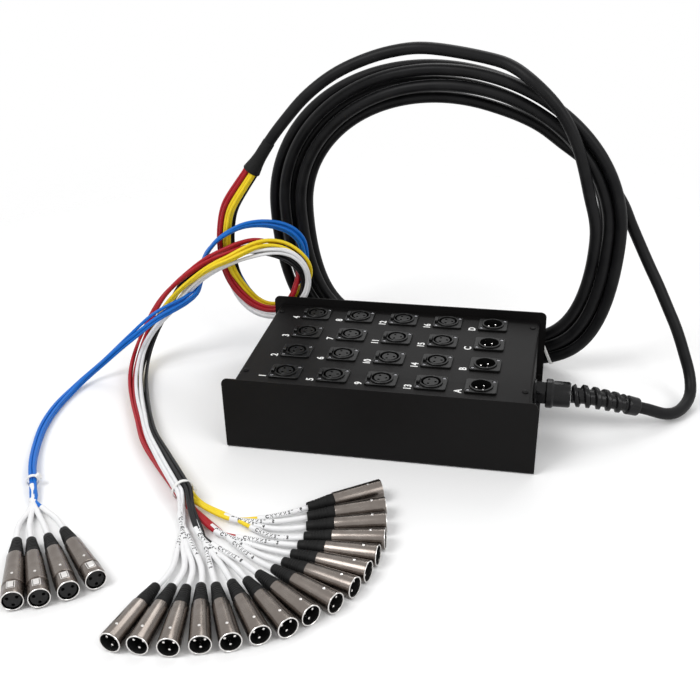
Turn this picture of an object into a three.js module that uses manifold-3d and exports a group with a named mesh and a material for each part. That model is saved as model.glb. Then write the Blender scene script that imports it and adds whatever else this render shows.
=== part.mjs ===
// Stage box snake: a folded steel box with sixteen female sockets and four male sockets on its
// sloping-lipped panel, a multicore cable that leaves by a flexing gland and is coiled behind the
// box, and a fan-out of twenty tails that end in line plugs lying on the floor.
// Millimetres, +Z up. The origin is the middle of the box's underside.
import * as THREE from 'three';
import { mergeVertices } from 'three/addons/utils/BufferGeometryUtils.js';
import Module from 'manifold-3d';

const wasm = await Module();
wasm.setup();

// Box
const BOX_WIDTH = 305;
const BOX_DEPTH = 196;
const BOX_HEIGHT = 78;
const SHEET = 1.5;
const BEND_RADIUS = 3;
const LIP_CORNER_RADIUS = 6;
const PANEL_DROP = 10;
const END_INSET = 7;
const FIT = 0.3;
const OVERRUN = 5;
const BRACKET_LENGTH = 24;
const BRACKET_REACH = 14;

// Panel sockets
const PANEL_MARGIN_ACROSS = 61.5;
const PANEL_MARGIN_BACK = 16.4;
const SOCKET_COLUMNS = 5;
const SOCKET_ROWS = 4;
const GRID_CENTRE_ACROSS = -0.7;
const GRID_CENTRE_BACK = 9;
const FLANGE_LENGTH = 31;
const FLANGE_WIDTH = 26;
const FLANGE_THICKNESS = 2;
const FLANGE_CORNER_CUT = 2.6;
const BOSS_DIAMETER = 23.4;
const BOSS_HEIGHT = 3.4;
const MATING_BORE_DIAMETER = 19.4;
const MATING_DEPTH = 13;
const FEMALE_INSERT_DIAMETER = 15.4;
const FEMALE_INSERT_SETBACK = 0.6;
const CONTACT_HOLE_DIAMETER = 3;
const CONTACT_HOLE_DEPTH = 7;
const CONTACT_CIRCLE_RADIUS = 4.6;
const PIN_DIAMETER = 2.4;
const PIN_SETBACK = 3;
const SOCKET_BODY_DIAMETER = 22;
const SOCKET_BODY_DEPTH = 20;
const SOCKET_SIDES = 10;
const TAB_LENGTH = 3.2;
const TAB_WIDTH = 8.4;
const TAB_RISE = 5;
const TAB_TAIL = 4;
const TAB_TRAVEL = 1.5;
const TAB_OFFSET = 12.3;
const TAB_CORNER_CUT = 0.9;

// Line plugs
const PLUG_NOSE_DIAMETER = 18.6;
const PLUG_REAR_DIAMETER = 15;
const PLUG_BORE_DIAMETER = 16;
const PLUG_SHELL_LENGTH = 46;
const PLUG_PIN_FLOOR = 14;
const BOOT_LENGTH = 25;
const BOOT_ROOT_DIAMETER = 13;
const BOOT_WAIST_DIAMETER = 10;
const BOOT_TIP_DIAMETER = 8.4;
const BOOT_WAIST_SHARE = 0.7;
const SOCKET_PLUG_NOSE_DIAMETER = 18.8;
const SOCKET_PLUG_SHELL_LENGTH = 60;
const SOCKET_PLUG_COLLAR_LENGTH = 15;
const SOCKET_PLUG_GROOVE_LENGTH = 2.5;
const SOCKET_PLUG_GROOVE_DEPTH = 0.9;
const SOCKET_PLUG_INSERT_SETBACK = 1.2;
const SOCKET_PLUG_GAP_DEPTH = 11;
const SOCKET_PLUG_WALL = 1.1;
const SOCKET_PLUG_ANNULUS = 1.2;
const LATCH_LENGTH = 7;
const LATCH_WIDTH = 4.6;
const LATCH_HEIGHT = 3.6;
const LATCH_PROUD = 1.4;
const LATCH_SETBACK = 6;
const LATCH_TRAVEL = 1;
const PLUG_FLOOR_GAP = 0.1;
const PLUG_SIDES = 10;

// Gland and strain relief on the right end wall
const GLAND_ALONG_BACK = -8;
const GLAND_HEIGHT = 39;
const GLAND_THREAD_DIAMETER = 20;
const GLAND_THREAD_LENGTH = 13;
const GLAND_WASHER_DIAMETER = 27;
const GLAND_WASHER_LENGTH = 2.4;
const GLAND_HEX_DIAMETER = 25;
const GLAND_HEX_LENGTH = 9.4;
const GLAND_COLLAR_DIAMETER = 29.5;
const GLAND_COLLAR_LENGTH = 7.5;
const GLAND_BARREL_DIAMETER = 26;
const GLAND_BARREL_LENGTH = 17;
const GLAND_CHAMFER = 1.2;
const LOCKNUT_DIAMETER = 28;
const LOCKNUT_LENGTH = 5;
const HEX_SIDES = 6;
const RELIEF_ROOT_DIAMETER = 24;
const RELIEF_END_DIAMETER = 18.5;
const RELIEF_CORE_ROOT_DIAMETER = 16;
const RELIEF_CORE_END_DIAMETER = 14;
const RELIEF_COLLAR_LENGTH = 13;
const RELIEF_RIB_COUNT = 5;
const RELIEF_RING_STEPS = 38;
const RELIEF_SIDES = 12;
const RELIEF_RIB_SHARE = 0.56;
const RELIEF_SLOPE_SHARE = 0.14;
const RELIEF_RUNOUT_SHARE = 0.2;
const RELIEF_ROUTE = [[182.6, -8, 39], [192, -8, 39], [206, -7, 37.2], [221, -4, 33.5], [236, 0, 28.8],
  [249, 4.6, 24]];

// Multicore cable and its coil, which stands on edge behind the box and has settled a little flat
const MULTICORE_DIAMETER = 12;
const COIL_PITCH = 13.4;
const COIL_CENTRE_ACROSS = 39.2;
const COIL_CENTRE_BACK = 134.2;
const COIL_HALF_WIDTH = 189.3;
const COIL_HALF_HEIGHT = 166.2;
const COIL_FLOOR_GAP = 0.3;
const COIL_YAW_DEGREES = -6;
const COIL_LEAN_DEGREES = 3;
const COIL_FLAT_SHARE = 0.5;
const COIL_TURNS = 5;
const COIL_STEPS_PER_TURN = 24;
const COIL_SIDES = 6;
const COIL_ENTRY_DEGREES = -4;
const COIL_INNER_DEGREES = 45;
const COIL_REVERSE_DEGREES = 930;
const COIL_LEAVE_DEGREES = 1815;
const COIL_LAYING_DEGREES = 1860;
const COIL_LAST_DEGREES = 1875;
const COIL_CLIMB_DEGREES = 180;
const COIL_CROSSING_DEGREES = 30;
const COIL_BACK_LAYER = 0.5;
const COIL_ENTRY_SLOT = -1.5;
const COIL_EXIT_SLOT = -1;
const COIL_ENTRY_POWER = 1.6;
const COIL_BULGE = 13.4;
const COIL_SPREAD_SHARE = 0.45;
const FULL_TURN_DEGREES = 360;
const CORD_SIDES = 8;

// Tails, their sleeves and ties
const TAIL_GROUP_DIAMETER = 7.4;
const TAIL_SLEEVE_DIAMETER = 5;
const GROUP_SPREAD = 5.75;
const BREAKOUT_LENGTH = 16;
const BREAKOUT_START_DIAMETER = 13;
const BREAKOUT_END_DIAMETER = 22;
const SEND_SHIFT = -3;
const RETURN_SHIFT = 10.4;
const TIE_THICKNESS = 1.2;
const TIE_WIDTH = 4;
const SEND_TIE_STEPS = 4;
const RETURN_TIE_STEPS = 2;
const LONGEST_STEP = 80;
const TURN_PER_STEP_DEGREES = 30;
const FINE_SAMPLES = 400;
const WELD = 1e-4;

// Cord routes, chosen by hand
const EXIT_ROUTE = [[278, 18.5, 10.5], [290, 29, 7.2], [300, 44, 8.5], [305.5, 59, 14], [305.5, 72, 27],
  [302.5, 83, 49.5], [296.3, 92, 71.5], [284.8, 101, 92], [272.3, 109.5, 112.5], [260.6, 117, 131]];
const LEAD_ROUTE = [[18, 104.5, 354.5], [-14, 106, 351], [-47, 106.5, 341], [-78, 106, 326],
  [-107, 104, 304], [-130, 102, 279], [-146, 100, 259], [-160, 98, 238]];
const SEND_ROUTE = [[-187, 95, 198.5], [-198, 99, 181], [-205, 101, 156], [-207, 102, 130],
  [-204, 103, 104], [-195, 105, 80], [-181, 108, 61], [-162, 110, 53], [-142, 111, 59], [-128, 111, 74],
  [-120, 111, 94], [-122, 108, 113], [-133, 104, 127], [-150, 98, 136], [-172, 90, 138], [-196, 82, 131],
  [-222, 79, 118], [-247, 75, 99], [-269, 71, 76], [-287, 64, 50], [-297, 52, 28], [-298, 34, 14.5],
  [-289, 4, 10.2], [-272, -34, 9.8], [-252, -72, 9.8], [-230, -110, 9.8], [-204, -143, 10],
  [-178, -175, 11.4], [-158, -200, 11.8]];
const RETURN_ROUTE = [[-188.5, 110.5, 190], [-198, 115, 160], [-201, 116, 130],
  [-199, 117, 104], [-190, 120, 82], [-176, 123, 66], [-158, 125, 60], [-140, 126, 66], [-129, 127, 80],
  [-124, 127, 98], [-122, 126, 118], [-125, 122, 138], [-137, 115, 153], [-158, 104, 162],
  [-182, 94, 162], [-204, 86, 152], [-218, 89, 139], [-229, 92, 124], [-235, 91, 107], [-240, 80, 87],
  [-250, 64, 80], [-262, 50, 76], [-278, 40, 67], [-296, 32, 52], [-315, 26, 36], [-334, 16, 20],
  [-348, 0, 10], [-355, -25, 5.4], [-357, -60, 4.4], [-352, -100, 4.4], [-342, -135, 4.4],
  [-328, -170, 6], [-314, -196, 6.7]];
// The lie of the send bundle: shares of its length, and how far its groups have turned round its middle there
const BUNDLE_LAY = [[0, 70], [0.13, 70], [0.25, -45], [0.36, -135], [0.46, -195], [0.66, -165],
  [0.97, -35], [1, -35]];
const GROUP_ENDS = {
  white: { corner: 225, points: [[-157.5, -214, 6.5], [-152, -228, 4.2]] },
  black: { corner: 135, points: [[-145, -219, 13.5], [-129, -245, 5.4]] },
  red: { corner: 45, points: [[-138, -212, 12], [-114, -236, 5]] },
  yellow: { corner: 315, points: [[-144.5, -205, 4.4], [-112, -220, 4.2]] },
};
const SEND_TIE = [-163, -194, 11.7];
const RETURN_TIE = [-313, -198, 6.7];
const RETURN_END = [[-307, -209, 6.6], [-300.5, -221, 4.8]];

// Plugs as they lie: face place on the floor plan, and the way the plug points, in degrees
const MALE_PLUGS = [[-151, -388, -98], [-129, -387, -91], [-105, -385, -81], [-82, -378, -71],
  [-60, -371, -62], [-40, -360, -54], [-21, -348.5, -46], [-7, -332, -38], [9, -315, -30],
  [20, -294, -20], [27, -273, -12], [31, -251, -4], [33, -228, 5], [30, -205, 12], [25, -183, 19],
  [16, -157, 30]];
const FEMALE_PLUGS = { A: [-247, -359, -64], B: [-227, -352, -58], C: [-207.5, -339.5, -52], D: [-191, -323, -46] };
const GROUP_NAMES = ['white', 'black', 'red', 'yellow'];
const PLUGS_PER_GROUP = 4;

// Sizes worked out from those above
const panelTop = BOX_HEIGHT - PANEL_DROP;
const endWallOutside = BOX_WIDTH / 2 - END_INSET;
const coverDepth = BOX_DEPTH - 2 * (SHEET + FIT);
const socketPitchAcross = (BOX_WIDTH - PANEL_MARGIN_ACROSS) / SOCKET_COLUMNS;
const socketPitchBack = (BOX_DEPTH - PANEL_MARGIN_BACK) / SOCKET_ROWS;
const multicoreRadius = MULTICORE_DIAMETER / 2;
const groupRadius = TAIL_GROUP_DIAMETER / 2;
const plugLie = taperLie(0, PLUG_NOSE_DIAMETER, PLUG_SHELL_LENGTH);
const socketPlugLie = taperLie(SOCKET_PLUG_COLLAR_LENGTH, SOCKET_PLUG_NOSE_DIAMETER, SOCKET_PLUG_SHELL_LENGTH);

// How a shell that tapers from a collar to its rear lies on its side on a flat floor: its tilt, and the
// height of the middle of its face
function taperLie(collar, diameter, length) {
  const tilt = Math.atan2((diameter - PLUG_REAR_DIAMETER) / 2, length - collar);
  const height = (diameter / 2) * Math.cos(tilt) + collar * Math.sin(tilt) + PLUG_FLOOR_GAP;
  return { tilt, height };
}

// Solids: a three.js geometry becomes a closed solid, and a solid becomes a geometry again
function toSolid(geometry) {
  const bare = geometry.clone();
  bare.deleteAttribute('normal');
  bare.deleteAttribute('uv');
  const merged = mergeVertices(bare, WELD);
  const index = merged.getIndex().array;
  const kept = [];
  for (let i = 0; i < index.length; i += 3) {
    const [a, b, c] = [index[i], index[i + 1], index[i + 2]];
    if (a !== b && b !== c && c !== a) kept.push(a, b, c);
  }
  const places = new Float32Array(merged.getAttribute('position').array);
  return new wasm.Manifold(new wasm.Mesh({ numProp: 3, vertProperties: places, triVerts: new Uint32Array(kept) }));
}

function toGeometry(solid) {
  const mesh = solid.getMesh();
  const geometry = new THREE.BufferGeometry();
  geometry.setAttribute('position', new THREE.BufferAttribute(new Float32Array(mesh.vertProperties), 3));
  geometry.setIndex(new THREE.BufferAttribute(new Uint32Array(mesh.triVerts), 1));
  geometry.computeVertexNormals();
  return geometry;
}

function joined(solids) {
  return solids.reduce((whole, next) => whole.add(next));
}

// An outline with round corners, centred on the origin
function roundedRectangle(width, height, radius) {
  const shape = new THREE.Shape();
  const x = width / 2;
  const y = height / 2;
  const quarter = Math.PI / 2;
  shape.moveTo(-x + radius, -y);
  shape.absarc(x - radius, -y + radius, radius, -quarter, 0, false);
  shape.absarc(x - radius, y - radius, radius, 0, quarter, false);
  shape.absarc(-x + radius, y - radius, radius, quarter, 2 * quarter, false);
  shape.absarc(-x + radius, -y + radius, radius, 2 * quarter, 3 * quarter, false);
  return shape;
}

// An outline with its corners cut off, centred on the origin
function cutRectangle(width, height, cut) {
  const x = width / 2;
  const y = height / 2;
  const shape = new THREE.Shape();
  shape.moveTo(-x + cut, -y);
  shape.lineTo(x - cut, -y);
  shape.lineTo(x, -y + cut);
  shape.lineTo(x, y - cut);
  shape.lineTo(x - cut, y);
  shape.lineTo(-x + cut, y);
  shape.lineTo(-x, y - cut);
  shape.lineTo(-x, -y + cut);
  return shape;
}

function extruded(shape, depth, curveSegments) {
  return new THREE.ExtrudeGeometry(shape, { depth, steps: 1, bevelEnabled: false, curveSegments });
}

// An upright block between two heights
function block(width, depth, low, high) {
  const geometry = new THREE.BoxGeometry(width, depth, high - low);
  geometry.translate(0, 0, (low + high) / 2);
  return geometry;
}

// An upright cylinder between two heights
function cylinder(diameter, low, high, sides) {
  const geometry = new THREE.CylinderGeometry(diameter / 2, diameter / 2, high - low, sides);
  geometry.rotateX(Math.PI / 2);
  geometry.translate(0, 0, (low + high) / 2);
  return geometry;
}

// A body turned about +X from points of [distance along X, radius]
function turned(profile, sides) {
  const points = profile.map(([along, radius]) => new THREE.Vector2(radius, along));
  const geometry = new THREE.LatheGeometry(points, sides);
  geometry.rotateZ(-Math.PI / 2);
  return outward(geometry);
}

function outward(geometry) {
  if (signedVolume(geometry) > 0) return geometry;
  const index = geometry.getIndex();
  const flipped = geometry.clone();
  const order = Array.from(index.array);
  for (let i = 0; i < order.length; i += 3) [order[i], order[i + 1]] = [order[i + 1], order[i]];
  flipped.setIndex(order);
  return flipped;
}

function signedVolume(geometry) {
  const places = geometry.getAttribute('position');
  const index = geometry.getIndex();
  const [a, b, c] = [new THREE.Vector3(), new THREE.Vector3(), new THREE.Vector3()];
  let sum = 0;
  for (let i = 0; i < index.count; i += 3) {
    a.fromBufferAttribute(places, index.getX(i));
    b.fromBufferAttribute(places, index.getX(i + 1));
    c.fromBufferAttribute(places, index.getX(i + 2));
    sum += a.dot(b.cross(c));
  }
  return sum;
}

// A curve through ready-made stations: each step of an extrusion along it lands on one of them
class StationCurve extends THREE.Curve {
  constructor(stations) {
    super();
    this.stations = stations;
  }

  getPoint(share, target = new THREE.Vector3()) {
    const place = share * (this.stations.length - 1);
    const low = Math.min(Math.floor(place + 1e-9), this.stations.length - 2);
    return target.copy(this.stations[low]).lerp(this.stations[low + 1], place - low);
  }

  getPointAt(share, target) {
    return this.getPoint(share, target);
  }

  getTangentAt(share, target = new THREE.Vector3()) {
    const at = Math.round(share * (this.stations.length - 1));
    const before = this.stations[Math.max(at - 1, 0)];
    const after = this.stations[Math.min(at + 1, this.stations.length - 1)];
    return target.copy(after).sub(before).normalize();
  }
}

// Stations along a smooth line through points, closer together where it bends. Square ends have a
// short first and last step, so that the end faces stand square to the line.
function stationsAlong(points, squareEnds) {
  const curve = new THREE.CatmullRomCurve3(points, false, 'centripetal');
  const fine = curve.getSpacedPoints(FINE_SAMPLES);
  const kept = squareEnds ? [fine[0], fine[1]] : [fine[0]];
  let spent = 0;
  for (let i = 1; i + 1 < fine.length; i += 1) {
    const here = fine[i].clone().sub(fine[i - 1]);
    const next = fine[i + 1].clone().sub(fine[i]);
    const turned = THREE.MathUtils.radToDeg(here.angleTo(next));
    spent += here.length() / LONGEST_STEP + turned / TURN_PER_STEP_DEGREES;
    if (spent >= 1) {
      kept.push(fine[i]);
      spent = 0;
    }
  }
  if (spent < 0.5 && kept.length > 3) kept.pop();
  if (squareEnds) kept.push(fine[fine.length - 2]);
  kept.push(fine[fine.length - 1]);
  return kept;
}

// A round section pushed along a line of stations
function tube(stations, diameter) {
  const section = new THREE.Shape();
  const corners = [];
  for (let i = 0; i < CORD_SIDES; i += 1) {
    const turn = (2 * Math.PI * (i + 0.5)) / CORD_SIDES;
    corners.push(new THREE.Vector2((diameter / 2) * Math.cos(turn), (diameter / 2) * Math.sin(turn)));
  }
  section.setFromPoints(corners);
  const extrudePath = new StationCurve(stations);
  const geometry = new THREE.ExtrudeGeometry(section, { steps: stations.length - 1, bevelEnabled: false, extrudePath });
  return outward(mergeVertices(stripped(geometry), WELD));
}

function routed(points, diameter, squareEnds) {
  return tube(stationsAlong(points, squareEnds), diameter);
}

function stripped(geometry) {
  const bare = geometry.clone();
  bare.deleteAttribute('normal');
  bare.deleteAttribute('uv');
  return bare;
}

// Frames carried along a line of points without twist, from the last point back to the first
function carriedFrames(points, lastUp) {
  const frames = new Array(points.length);
  let up = lastUp.clone();
  for (let i = points.length - 1; i >= 0; i -= 1) {
    const before = points[Math.max(i - 1, 0)];
    const after = points[Math.min(i + 1, points.length - 1)];
    const along = after.clone().sub(before).normalize();
    up = up.clone().sub(along.clone().multiplyScalar(up.dot(along))).normalize();
    frames[i] = { along, up, side: along.clone().cross(up) };
  }
  return frames;
}

// A closed skin over rings of points, with a flat cap at each end
function skinned(rings) {
  const count = rings[0].length;
  const places = rings.flat().flatMap((p) => [p.x, p.y, p.z]);
  const index = [];
  for (let r = 0; r + 1 < rings.length; r += 1) {
    for (let i = 0; i < count; i += 1) {
      const j = (i + 1) % count;
      const [a, b, c, d] = [r * count + i, r * count + j, (r + 1) * count + j, (r + 1) * count + i];
      index.push(a, b, c, a, c, d);
    }
  }
  const last = (rings.length - 1) * count;
  for (let i = 1; i + 1 < count; i += 1) {
    index.push(0, i + 1, i, last, last + i, last + i + 1);
  }
  const geometry = new THREE.BufferGeometry();
  geometry.setAttribute('position', new THREE.Float32BufferAttribute(places, 3));
  geometry.setIndex(index);
  return outward(geometry);
}

function ringAround(centre, frame, radiusAt, sides) {
  const ring = [];
  for (let i = 0; i < sides; i += 1) {
    const turn = (2 * Math.PI * i) / sides;
    const radius = radiusAt(turn);
    ring.push(centre.clone()
      .addScaledVector(frame.up, radius * Math.cos(turn))
      .addScaledVector(frame.side, radius * Math.sin(turn)));
  }
  return ring;
}

function vectors(list) {
  return list.map(([x, y, z]) => new THREE.Vector3(x, y, z));
}

function smooth(share) {
  const t = THREE.MathUtils.clamp(share, 0, 1);
  return t * t * (3 - 2 * t);
}

// Base pan: one sheet folded up into a floor, a front wall and a rear wall with round top corners,
// and four brackets that carry the cover
function basePan() {
  const half = BOX_DEPTH / 2;
  const bend = new THREE.Shape();
  bend.moveTo(-half, BOX_HEIGHT);
  bend.lineTo(-half, BEND_RADIUS);
  bend.absarc(-half + BEND_RADIUS, BEND_RADIUS, BEND_RADIUS, Math.PI, Math.PI * 1.5, false);
  bend.absarc(half - BEND_RADIUS, BEND_RADIUS, BEND_RADIUS, -Math.PI / 2, 0, false);
  bend.lineTo(half, BOX_HEIGHT);
  bend.lineTo(half - SHEET, BOX_HEIGHT);
  const inner = BEND_RADIUS - SHEET;
  bend.absarc(half - BEND_RADIUS, BEND_RADIUS, inner, 0, -Math.PI / 2, true);
  bend.absarc(-half + BEND_RADIUS, BEND_RADIUS, inner, -Math.PI / 2, -Math.PI, true);
  bend.lineTo(-half + SHEET, BOX_HEIGHT);
  const channel = extruded(bend, BOX_WIDTH, 4);
  channel.rotateX(Math.PI / 2);
  channel.rotateZ(Math.PI / 2);
  channel.translate(-BOX_WIDTH / 2, 0, 0);
  const face = new THREE.Shape();
  const x = BOX_WIDTH / 2;
  face.moveTo(-x, 0);
  face.lineTo(x, 0);
  face.lineTo(x, BOX_HEIGHT - LIP_CORNER_RADIUS);
  face.absarc(x - LIP_CORNER_RADIUS, BOX_HEIGHT - LIP_CORNER_RADIUS, LIP_CORNER_RADIUS, 0, Math.PI / 2, false);
  face.absarc(-x + LIP_CORNER_RADIUS, BOX_HEIGHT - LIP_CORNER_RADIUS, LIP_CORNER_RADIUS, Math.PI / 2, Math.PI, false);
  const outline = extruded(face, BOX_DEPTH + 2 * OVERRUN, 5);
  outline.rotateX(Math.PI / 2);
  outline.translate(0, half + OVERRUN, 0);
  let pan = toSolid(channel).intersect(toSolid(outline));
  const bracketTop = panelTop - SHEET - FIT;
  const across = endWallOutside - BEND_RADIUS - BRACKET_LENGTH / 2;
  for (const sideX of [-1, 1]) {
    for (const sideY of [-1, 1]) {
      const bracket = block(BRACKET_LENGTH, BRACKET_REACH + SHEET, bracketTop - SHEET, bracketTop);
      bracket.translate(sideX * across, sideY * (half - (BRACKET_REACH + SHEET) / 2), 0);
      pan = pan.add(toSolid(bracket));
    }
  }
  return pan;
}

function socketPlaces() {
  const places = [];
  for (let column = 0; column < SOCKET_COLUMNS; column += 1) {
    for (let row = 0; row < SOCKET_ROWS; row += 1) {
      places.push([
        GRID_CENTRE_ACROSS + (column - (SOCKET_COLUMNS - 1) / 2) * socketPitchAcross,
        GRID_CENTRE_BACK + (row - (SOCKET_ROWS - 1) / 2) * socketPitchBack,
      ]);
    }
  }
  return places;
}

// Places of the three contacts around the middle of a socket or plug, the first one at the given angle
function contactPlaces(firstDegrees) {
  return [0, 1, 2].map((i) => {
    const turn = THREE.MathUtils.degToRad(firstDegrees) + (2 * Math.PI * i) / 3;
    return [CONTACT_CIRCLE_RADIUS * Math.cos(turn), CONTACT_CIRCLE_RADIUS * Math.sin(turn)];
  });
}

// Flange and boss. A flange that is one with its panel reaches down into the sheet.
function socketFlange(low) {
  const plate = extruded(cutRectangle(FLANGE_LENGTH, FLANGE_WIDTH, FLANGE_CORNER_CUT), FLANGE_THICKNESS - low, 1);
  plate.translate(0, 0, low);
  return toSolid(plate).add(toSolid(cylinder(BOSS_DIAMETER, low, BOSS_HEIGHT, SOCKET_SIDES)));
}

// The eight-sided barrel behind the panel, with a flat beside the release tab
function socketBody(top) {
  const body = cylinder(SOCKET_BODY_DIAMETER, -SOCKET_BODY_DEPTH, top, 8);
  body.rotateZ(Math.PI / 8);
  return body;
}

// Female panel socket, standing on its panel at z = 0: flange, round boss, ring-shaped bore round the
// insert, three contact holes, and the slot of the release tab
function femaleSocket() {
  const body = socketBody(FLANGE_THICKNESS / 2);
  const bore = cylinder(MATING_BORE_DIAMETER, BOSS_HEIGHT - MATING_DEPTH, BOSS_HEIGHT + OVERRUN, SOCKET_SIDES);
  const insertTop = BOSS_HEIGHT - FEMALE_INSERT_SETBACK;
  const insert = cylinder(FEMALE_INSERT_DIAMETER, BOSS_HEIGHT - MATING_DEPTH - SHEET, insertTop, SOCKET_SIDES);
  let socket = socketFlange(-SHEET / 2).add(toSolid(body)).subtract(toSolid(bore)).add(toSolid(insert));
  for (const [x, y] of contactPlaces(0)) {
    const hole = cylinder(CONTACT_HOLE_DIAMETER, insertTop - CONTACT_HOLE_DEPTH, insertTop + OVERRUN, 5);
    hole.translate(x, y, 0);
    socket = socket.subtract(toSolid(hole));
  }
  return socket;
}

function tabSlot() {
  const slot = block(TAB_LENGTH + 2 * FIT, TAB_WIDTH + 2 * FIT, -SOCKET_BODY_DEPTH - OVERRUN, BOSS_HEIGHT + OVERRUN);
  slot.translate(-TAB_OFFSET, 0, 0);
  return toSolid(slot);
}

// Male panel socket, standing on its panel at z = 0: flange, boss, open cup and three pins
function maleSocket() {
  const body = cylinder(SOCKET_BODY_DIAMETER, -SOCKET_BODY_DEPTH, FLANGE_THICKNESS / 2, 12);
  const floor = BOSS_HEIGHT - MATING_DEPTH;
  const cup = cylinder(MATING_BORE_DIAMETER, floor, BOSS_HEIGHT + OVERRUN, 12);
  let socket = socketFlange(0).add(toSolid(body)).subtract(toSolid(cup));
  for (const [x, y] of contactPlaces(60)) {
    const pin = cylinder(PIN_DIAMETER, floor - SHEET, BOSS_HEIGHT - PIN_SETBACK, 6);
    pin.translate(x, y, 0);
    socket = socket.add(toSolid(pin));
  }
  return socket;
}

// Cover: one sheet folded down at both ends, with the sixteen female sockets riveted in for good
function topCover() {
  const x = endWallOutside;
  const low = BEND_RADIUS;
  const fold = new THREE.Shape();
  fold.moveTo(-x, low);
  fold.lineTo(-x + SHEET, low);
  const inner = BEND_RADIUS - SHEET;
  fold.absarc(-x + BEND_RADIUS, panelTop - BEND_RADIUS, inner, Math.PI, Math.PI / 2, true);
  fold.absarc(x - BEND_RADIUS, panelTop - BEND_RADIUS, inner, Math.PI / 2, 0, true);
  fold.lineTo(x - SHEET, low);
  fold.lineTo(x, low);
  fold.absarc(x - BEND_RADIUS, panelTop - BEND_RADIUS, BEND_RADIUS, 0, Math.PI / 2, false);
  fold.absarc(-x + BEND_RADIUS, panelTop - BEND_RADIUS, BEND_RADIUS, Math.PI / 2, Math.PI, false);
  const sheet = extruded(fold, coverDepth, 3);
  sheet.rotateX(Math.PI / 2);
  sheet.translate(0, coverDepth / 2, 0);
  let cover = toSolid(sheet);
  const places = socketPlaces();
  const females = places.slice(0, places.length - SOCKET_ROWS);
  const males = places.slice(places.length - SOCKET_ROWS);
  const socket = femaleSocket();
  const bodyHole = toSolid(socketBody(FLANGE_THICKNESS));
  const slot = tabSlot();
  for (const [px, py] of females) {
    const place = [px, py, panelTop];
    cover = cover.subtract(bodyHole.translate(place)).add(socket.translate(place)).subtract(slot.translate(place));
  }
  const openHole = toSolid(cylinder(SOCKET_BODY_DIAMETER + 2 * FIT, -SHEET - OVERRUN, OVERRUN, 16));
  for (const [px, py] of males) cover = cover.subtract(openHole.translate([px, py, panelTop]));
  const glandHole = cylinder(GLAND_THREAD_DIAMETER + 2 * FIT, 0, 2 * OVERRUN, 16);
  glandHole.rotateY(Math.PI / 2);
  glandHole.translate(endWallOutside - OVERRUN - SHEET / 2, GLAND_ALONG_BACK, GLAND_HEIGHT);
  return cover.subtract(toSolid(glandHole));
}

// Release tab of a female socket: a plate with a rounded head that slides down its slot
function latchTab() {
  const outline = cutRectangle(TAB_WIDTH, TAB_RISE + TAB_TAIL, TAB_CORNER_CUT);
  const plate = extruded(outline, TAB_LENGTH, 1);
  plate.rotateX(Math.PI / 2);
  plate.rotateZ(Math.PI / 2);
  plate.translate(-TAB_OFFSET - TAB_LENGTH / 2, 0, (TAB_RISE - TAB_TAIL) / 2);
  return toSolid(plate);
}

function shellProfile(noseDiameter, shellLength) {
  const nose = noseDiameter / 2;
  return [
    [0, nose],
    [-shellLength, PLUG_REAR_DIAMETER / 2],
    [-shellLength, BOOT_ROOT_DIAMETER / 2],
    [-shellLength - BOOT_LENGTH * BOOT_WAIST_SHARE, BOOT_WAIST_DIAMETER / 2],
    [-shellLength - BOOT_LENGTH, BOOT_TIP_DIAMETER / 2],
    [-shellLength - BOOT_LENGTH, 0],
  ];
}

// Male line plug along +X with its face at x = 0: tapered shell, open cup, three pins, rubber boot
function malePlug() {
  const bore = PLUG_BORE_DIAMETER / 2;
  const profile = [[-PLUG_PIN_FLOOR, 0], [-PLUG_PIN_FLOOR, bore], [0, bore],
    ...shellProfile(PLUG_NOSE_DIAMETER, PLUG_SHELL_LENGTH)];
  let plug = toSolid(turned(profile, PLUG_SIDES));
  for (const [y, z] of contactPlaces(270)) {
    const pin = cylinder(PIN_DIAMETER, -PLUG_PIN_FLOOR - SHEET, -PIN_SETBACK, 5);
    pin.rotateY(Math.PI / 2);
    pin.translate(0, y, z);
    plug = plug.add(toSolid(pin));
  }
  return plug;
}

// Female line plug along +X: collar and groove at the nose, a thin ring gap round the insert, three
// contact holes, the window of the latch button, and the same boot
function femalePlug() {
  const nose = SOCKET_PLUG_NOSE_DIAMETER / 2;
  const wallInside = nose - SOCKET_PLUG_WALL;
  const insertRadius = wallInside - SOCKET_PLUG_ANNULUS;
  const shell = shellProfile(SOCKET_PLUG_NOSE_DIAMETER, SOCKET_PLUG_SHELL_LENGTH);
  const collarEnd = -SOCKET_PLUG_COLLAR_LENGTH;
  const grooveEnd = collarEnd - SOCKET_PLUG_GROOVE_LENGTH;
  const profile = [[-SOCKET_PLUG_INSERT_SETBACK, 0], [-SOCKET_PLUG_INSERT_SETBACK, insertRadius],
    [-SOCKET_PLUG_GAP_DEPTH, insertRadius], [-SOCKET_PLUG_GAP_DEPTH, wallInside], [0, wallInside],
    shell[0], [collarEnd, nose], [collarEnd, nose - SOCKET_PLUG_GROOVE_DEPTH],
    [grooveEnd, nose - SOCKET_PLUG_GROOVE_DEPTH], ...shell.slice(1)];
  let plug = toSolid(turned(profile, PLUG_SIDES));
  for (const [y, z] of contactPlaces(270)) {
    const hole = cylinder(CONTACT_HOLE_DIAMETER, -CONTACT_HOLE_DEPTH, OVERRUN, 5);
    hole.rotateY(Math.PI / 2);
    hole.translate(0, y, z);
    plug = plug.subtract(toSolid(hole));
  }
  const pocketFloor = latchFloor() - LATCH_TRAVEL - FIT;
  const window = block(LATCH_LENGTH + 2 * FIT, LATCH_WIDTH + 2 * FIT, pocketFloor, nose + OVERRUN);
  window.translate(-LATCH_SETBACK - LATCH_LENGTH / 2, 0, 0);
  return plug.subtract(toSolid(window));
}

function latchFloor() {
  return SOCKET_PLUG_NOSE_DIAMETER / 2 + LATCH_PROUD - LATCH_HEIGHT;
}

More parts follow.
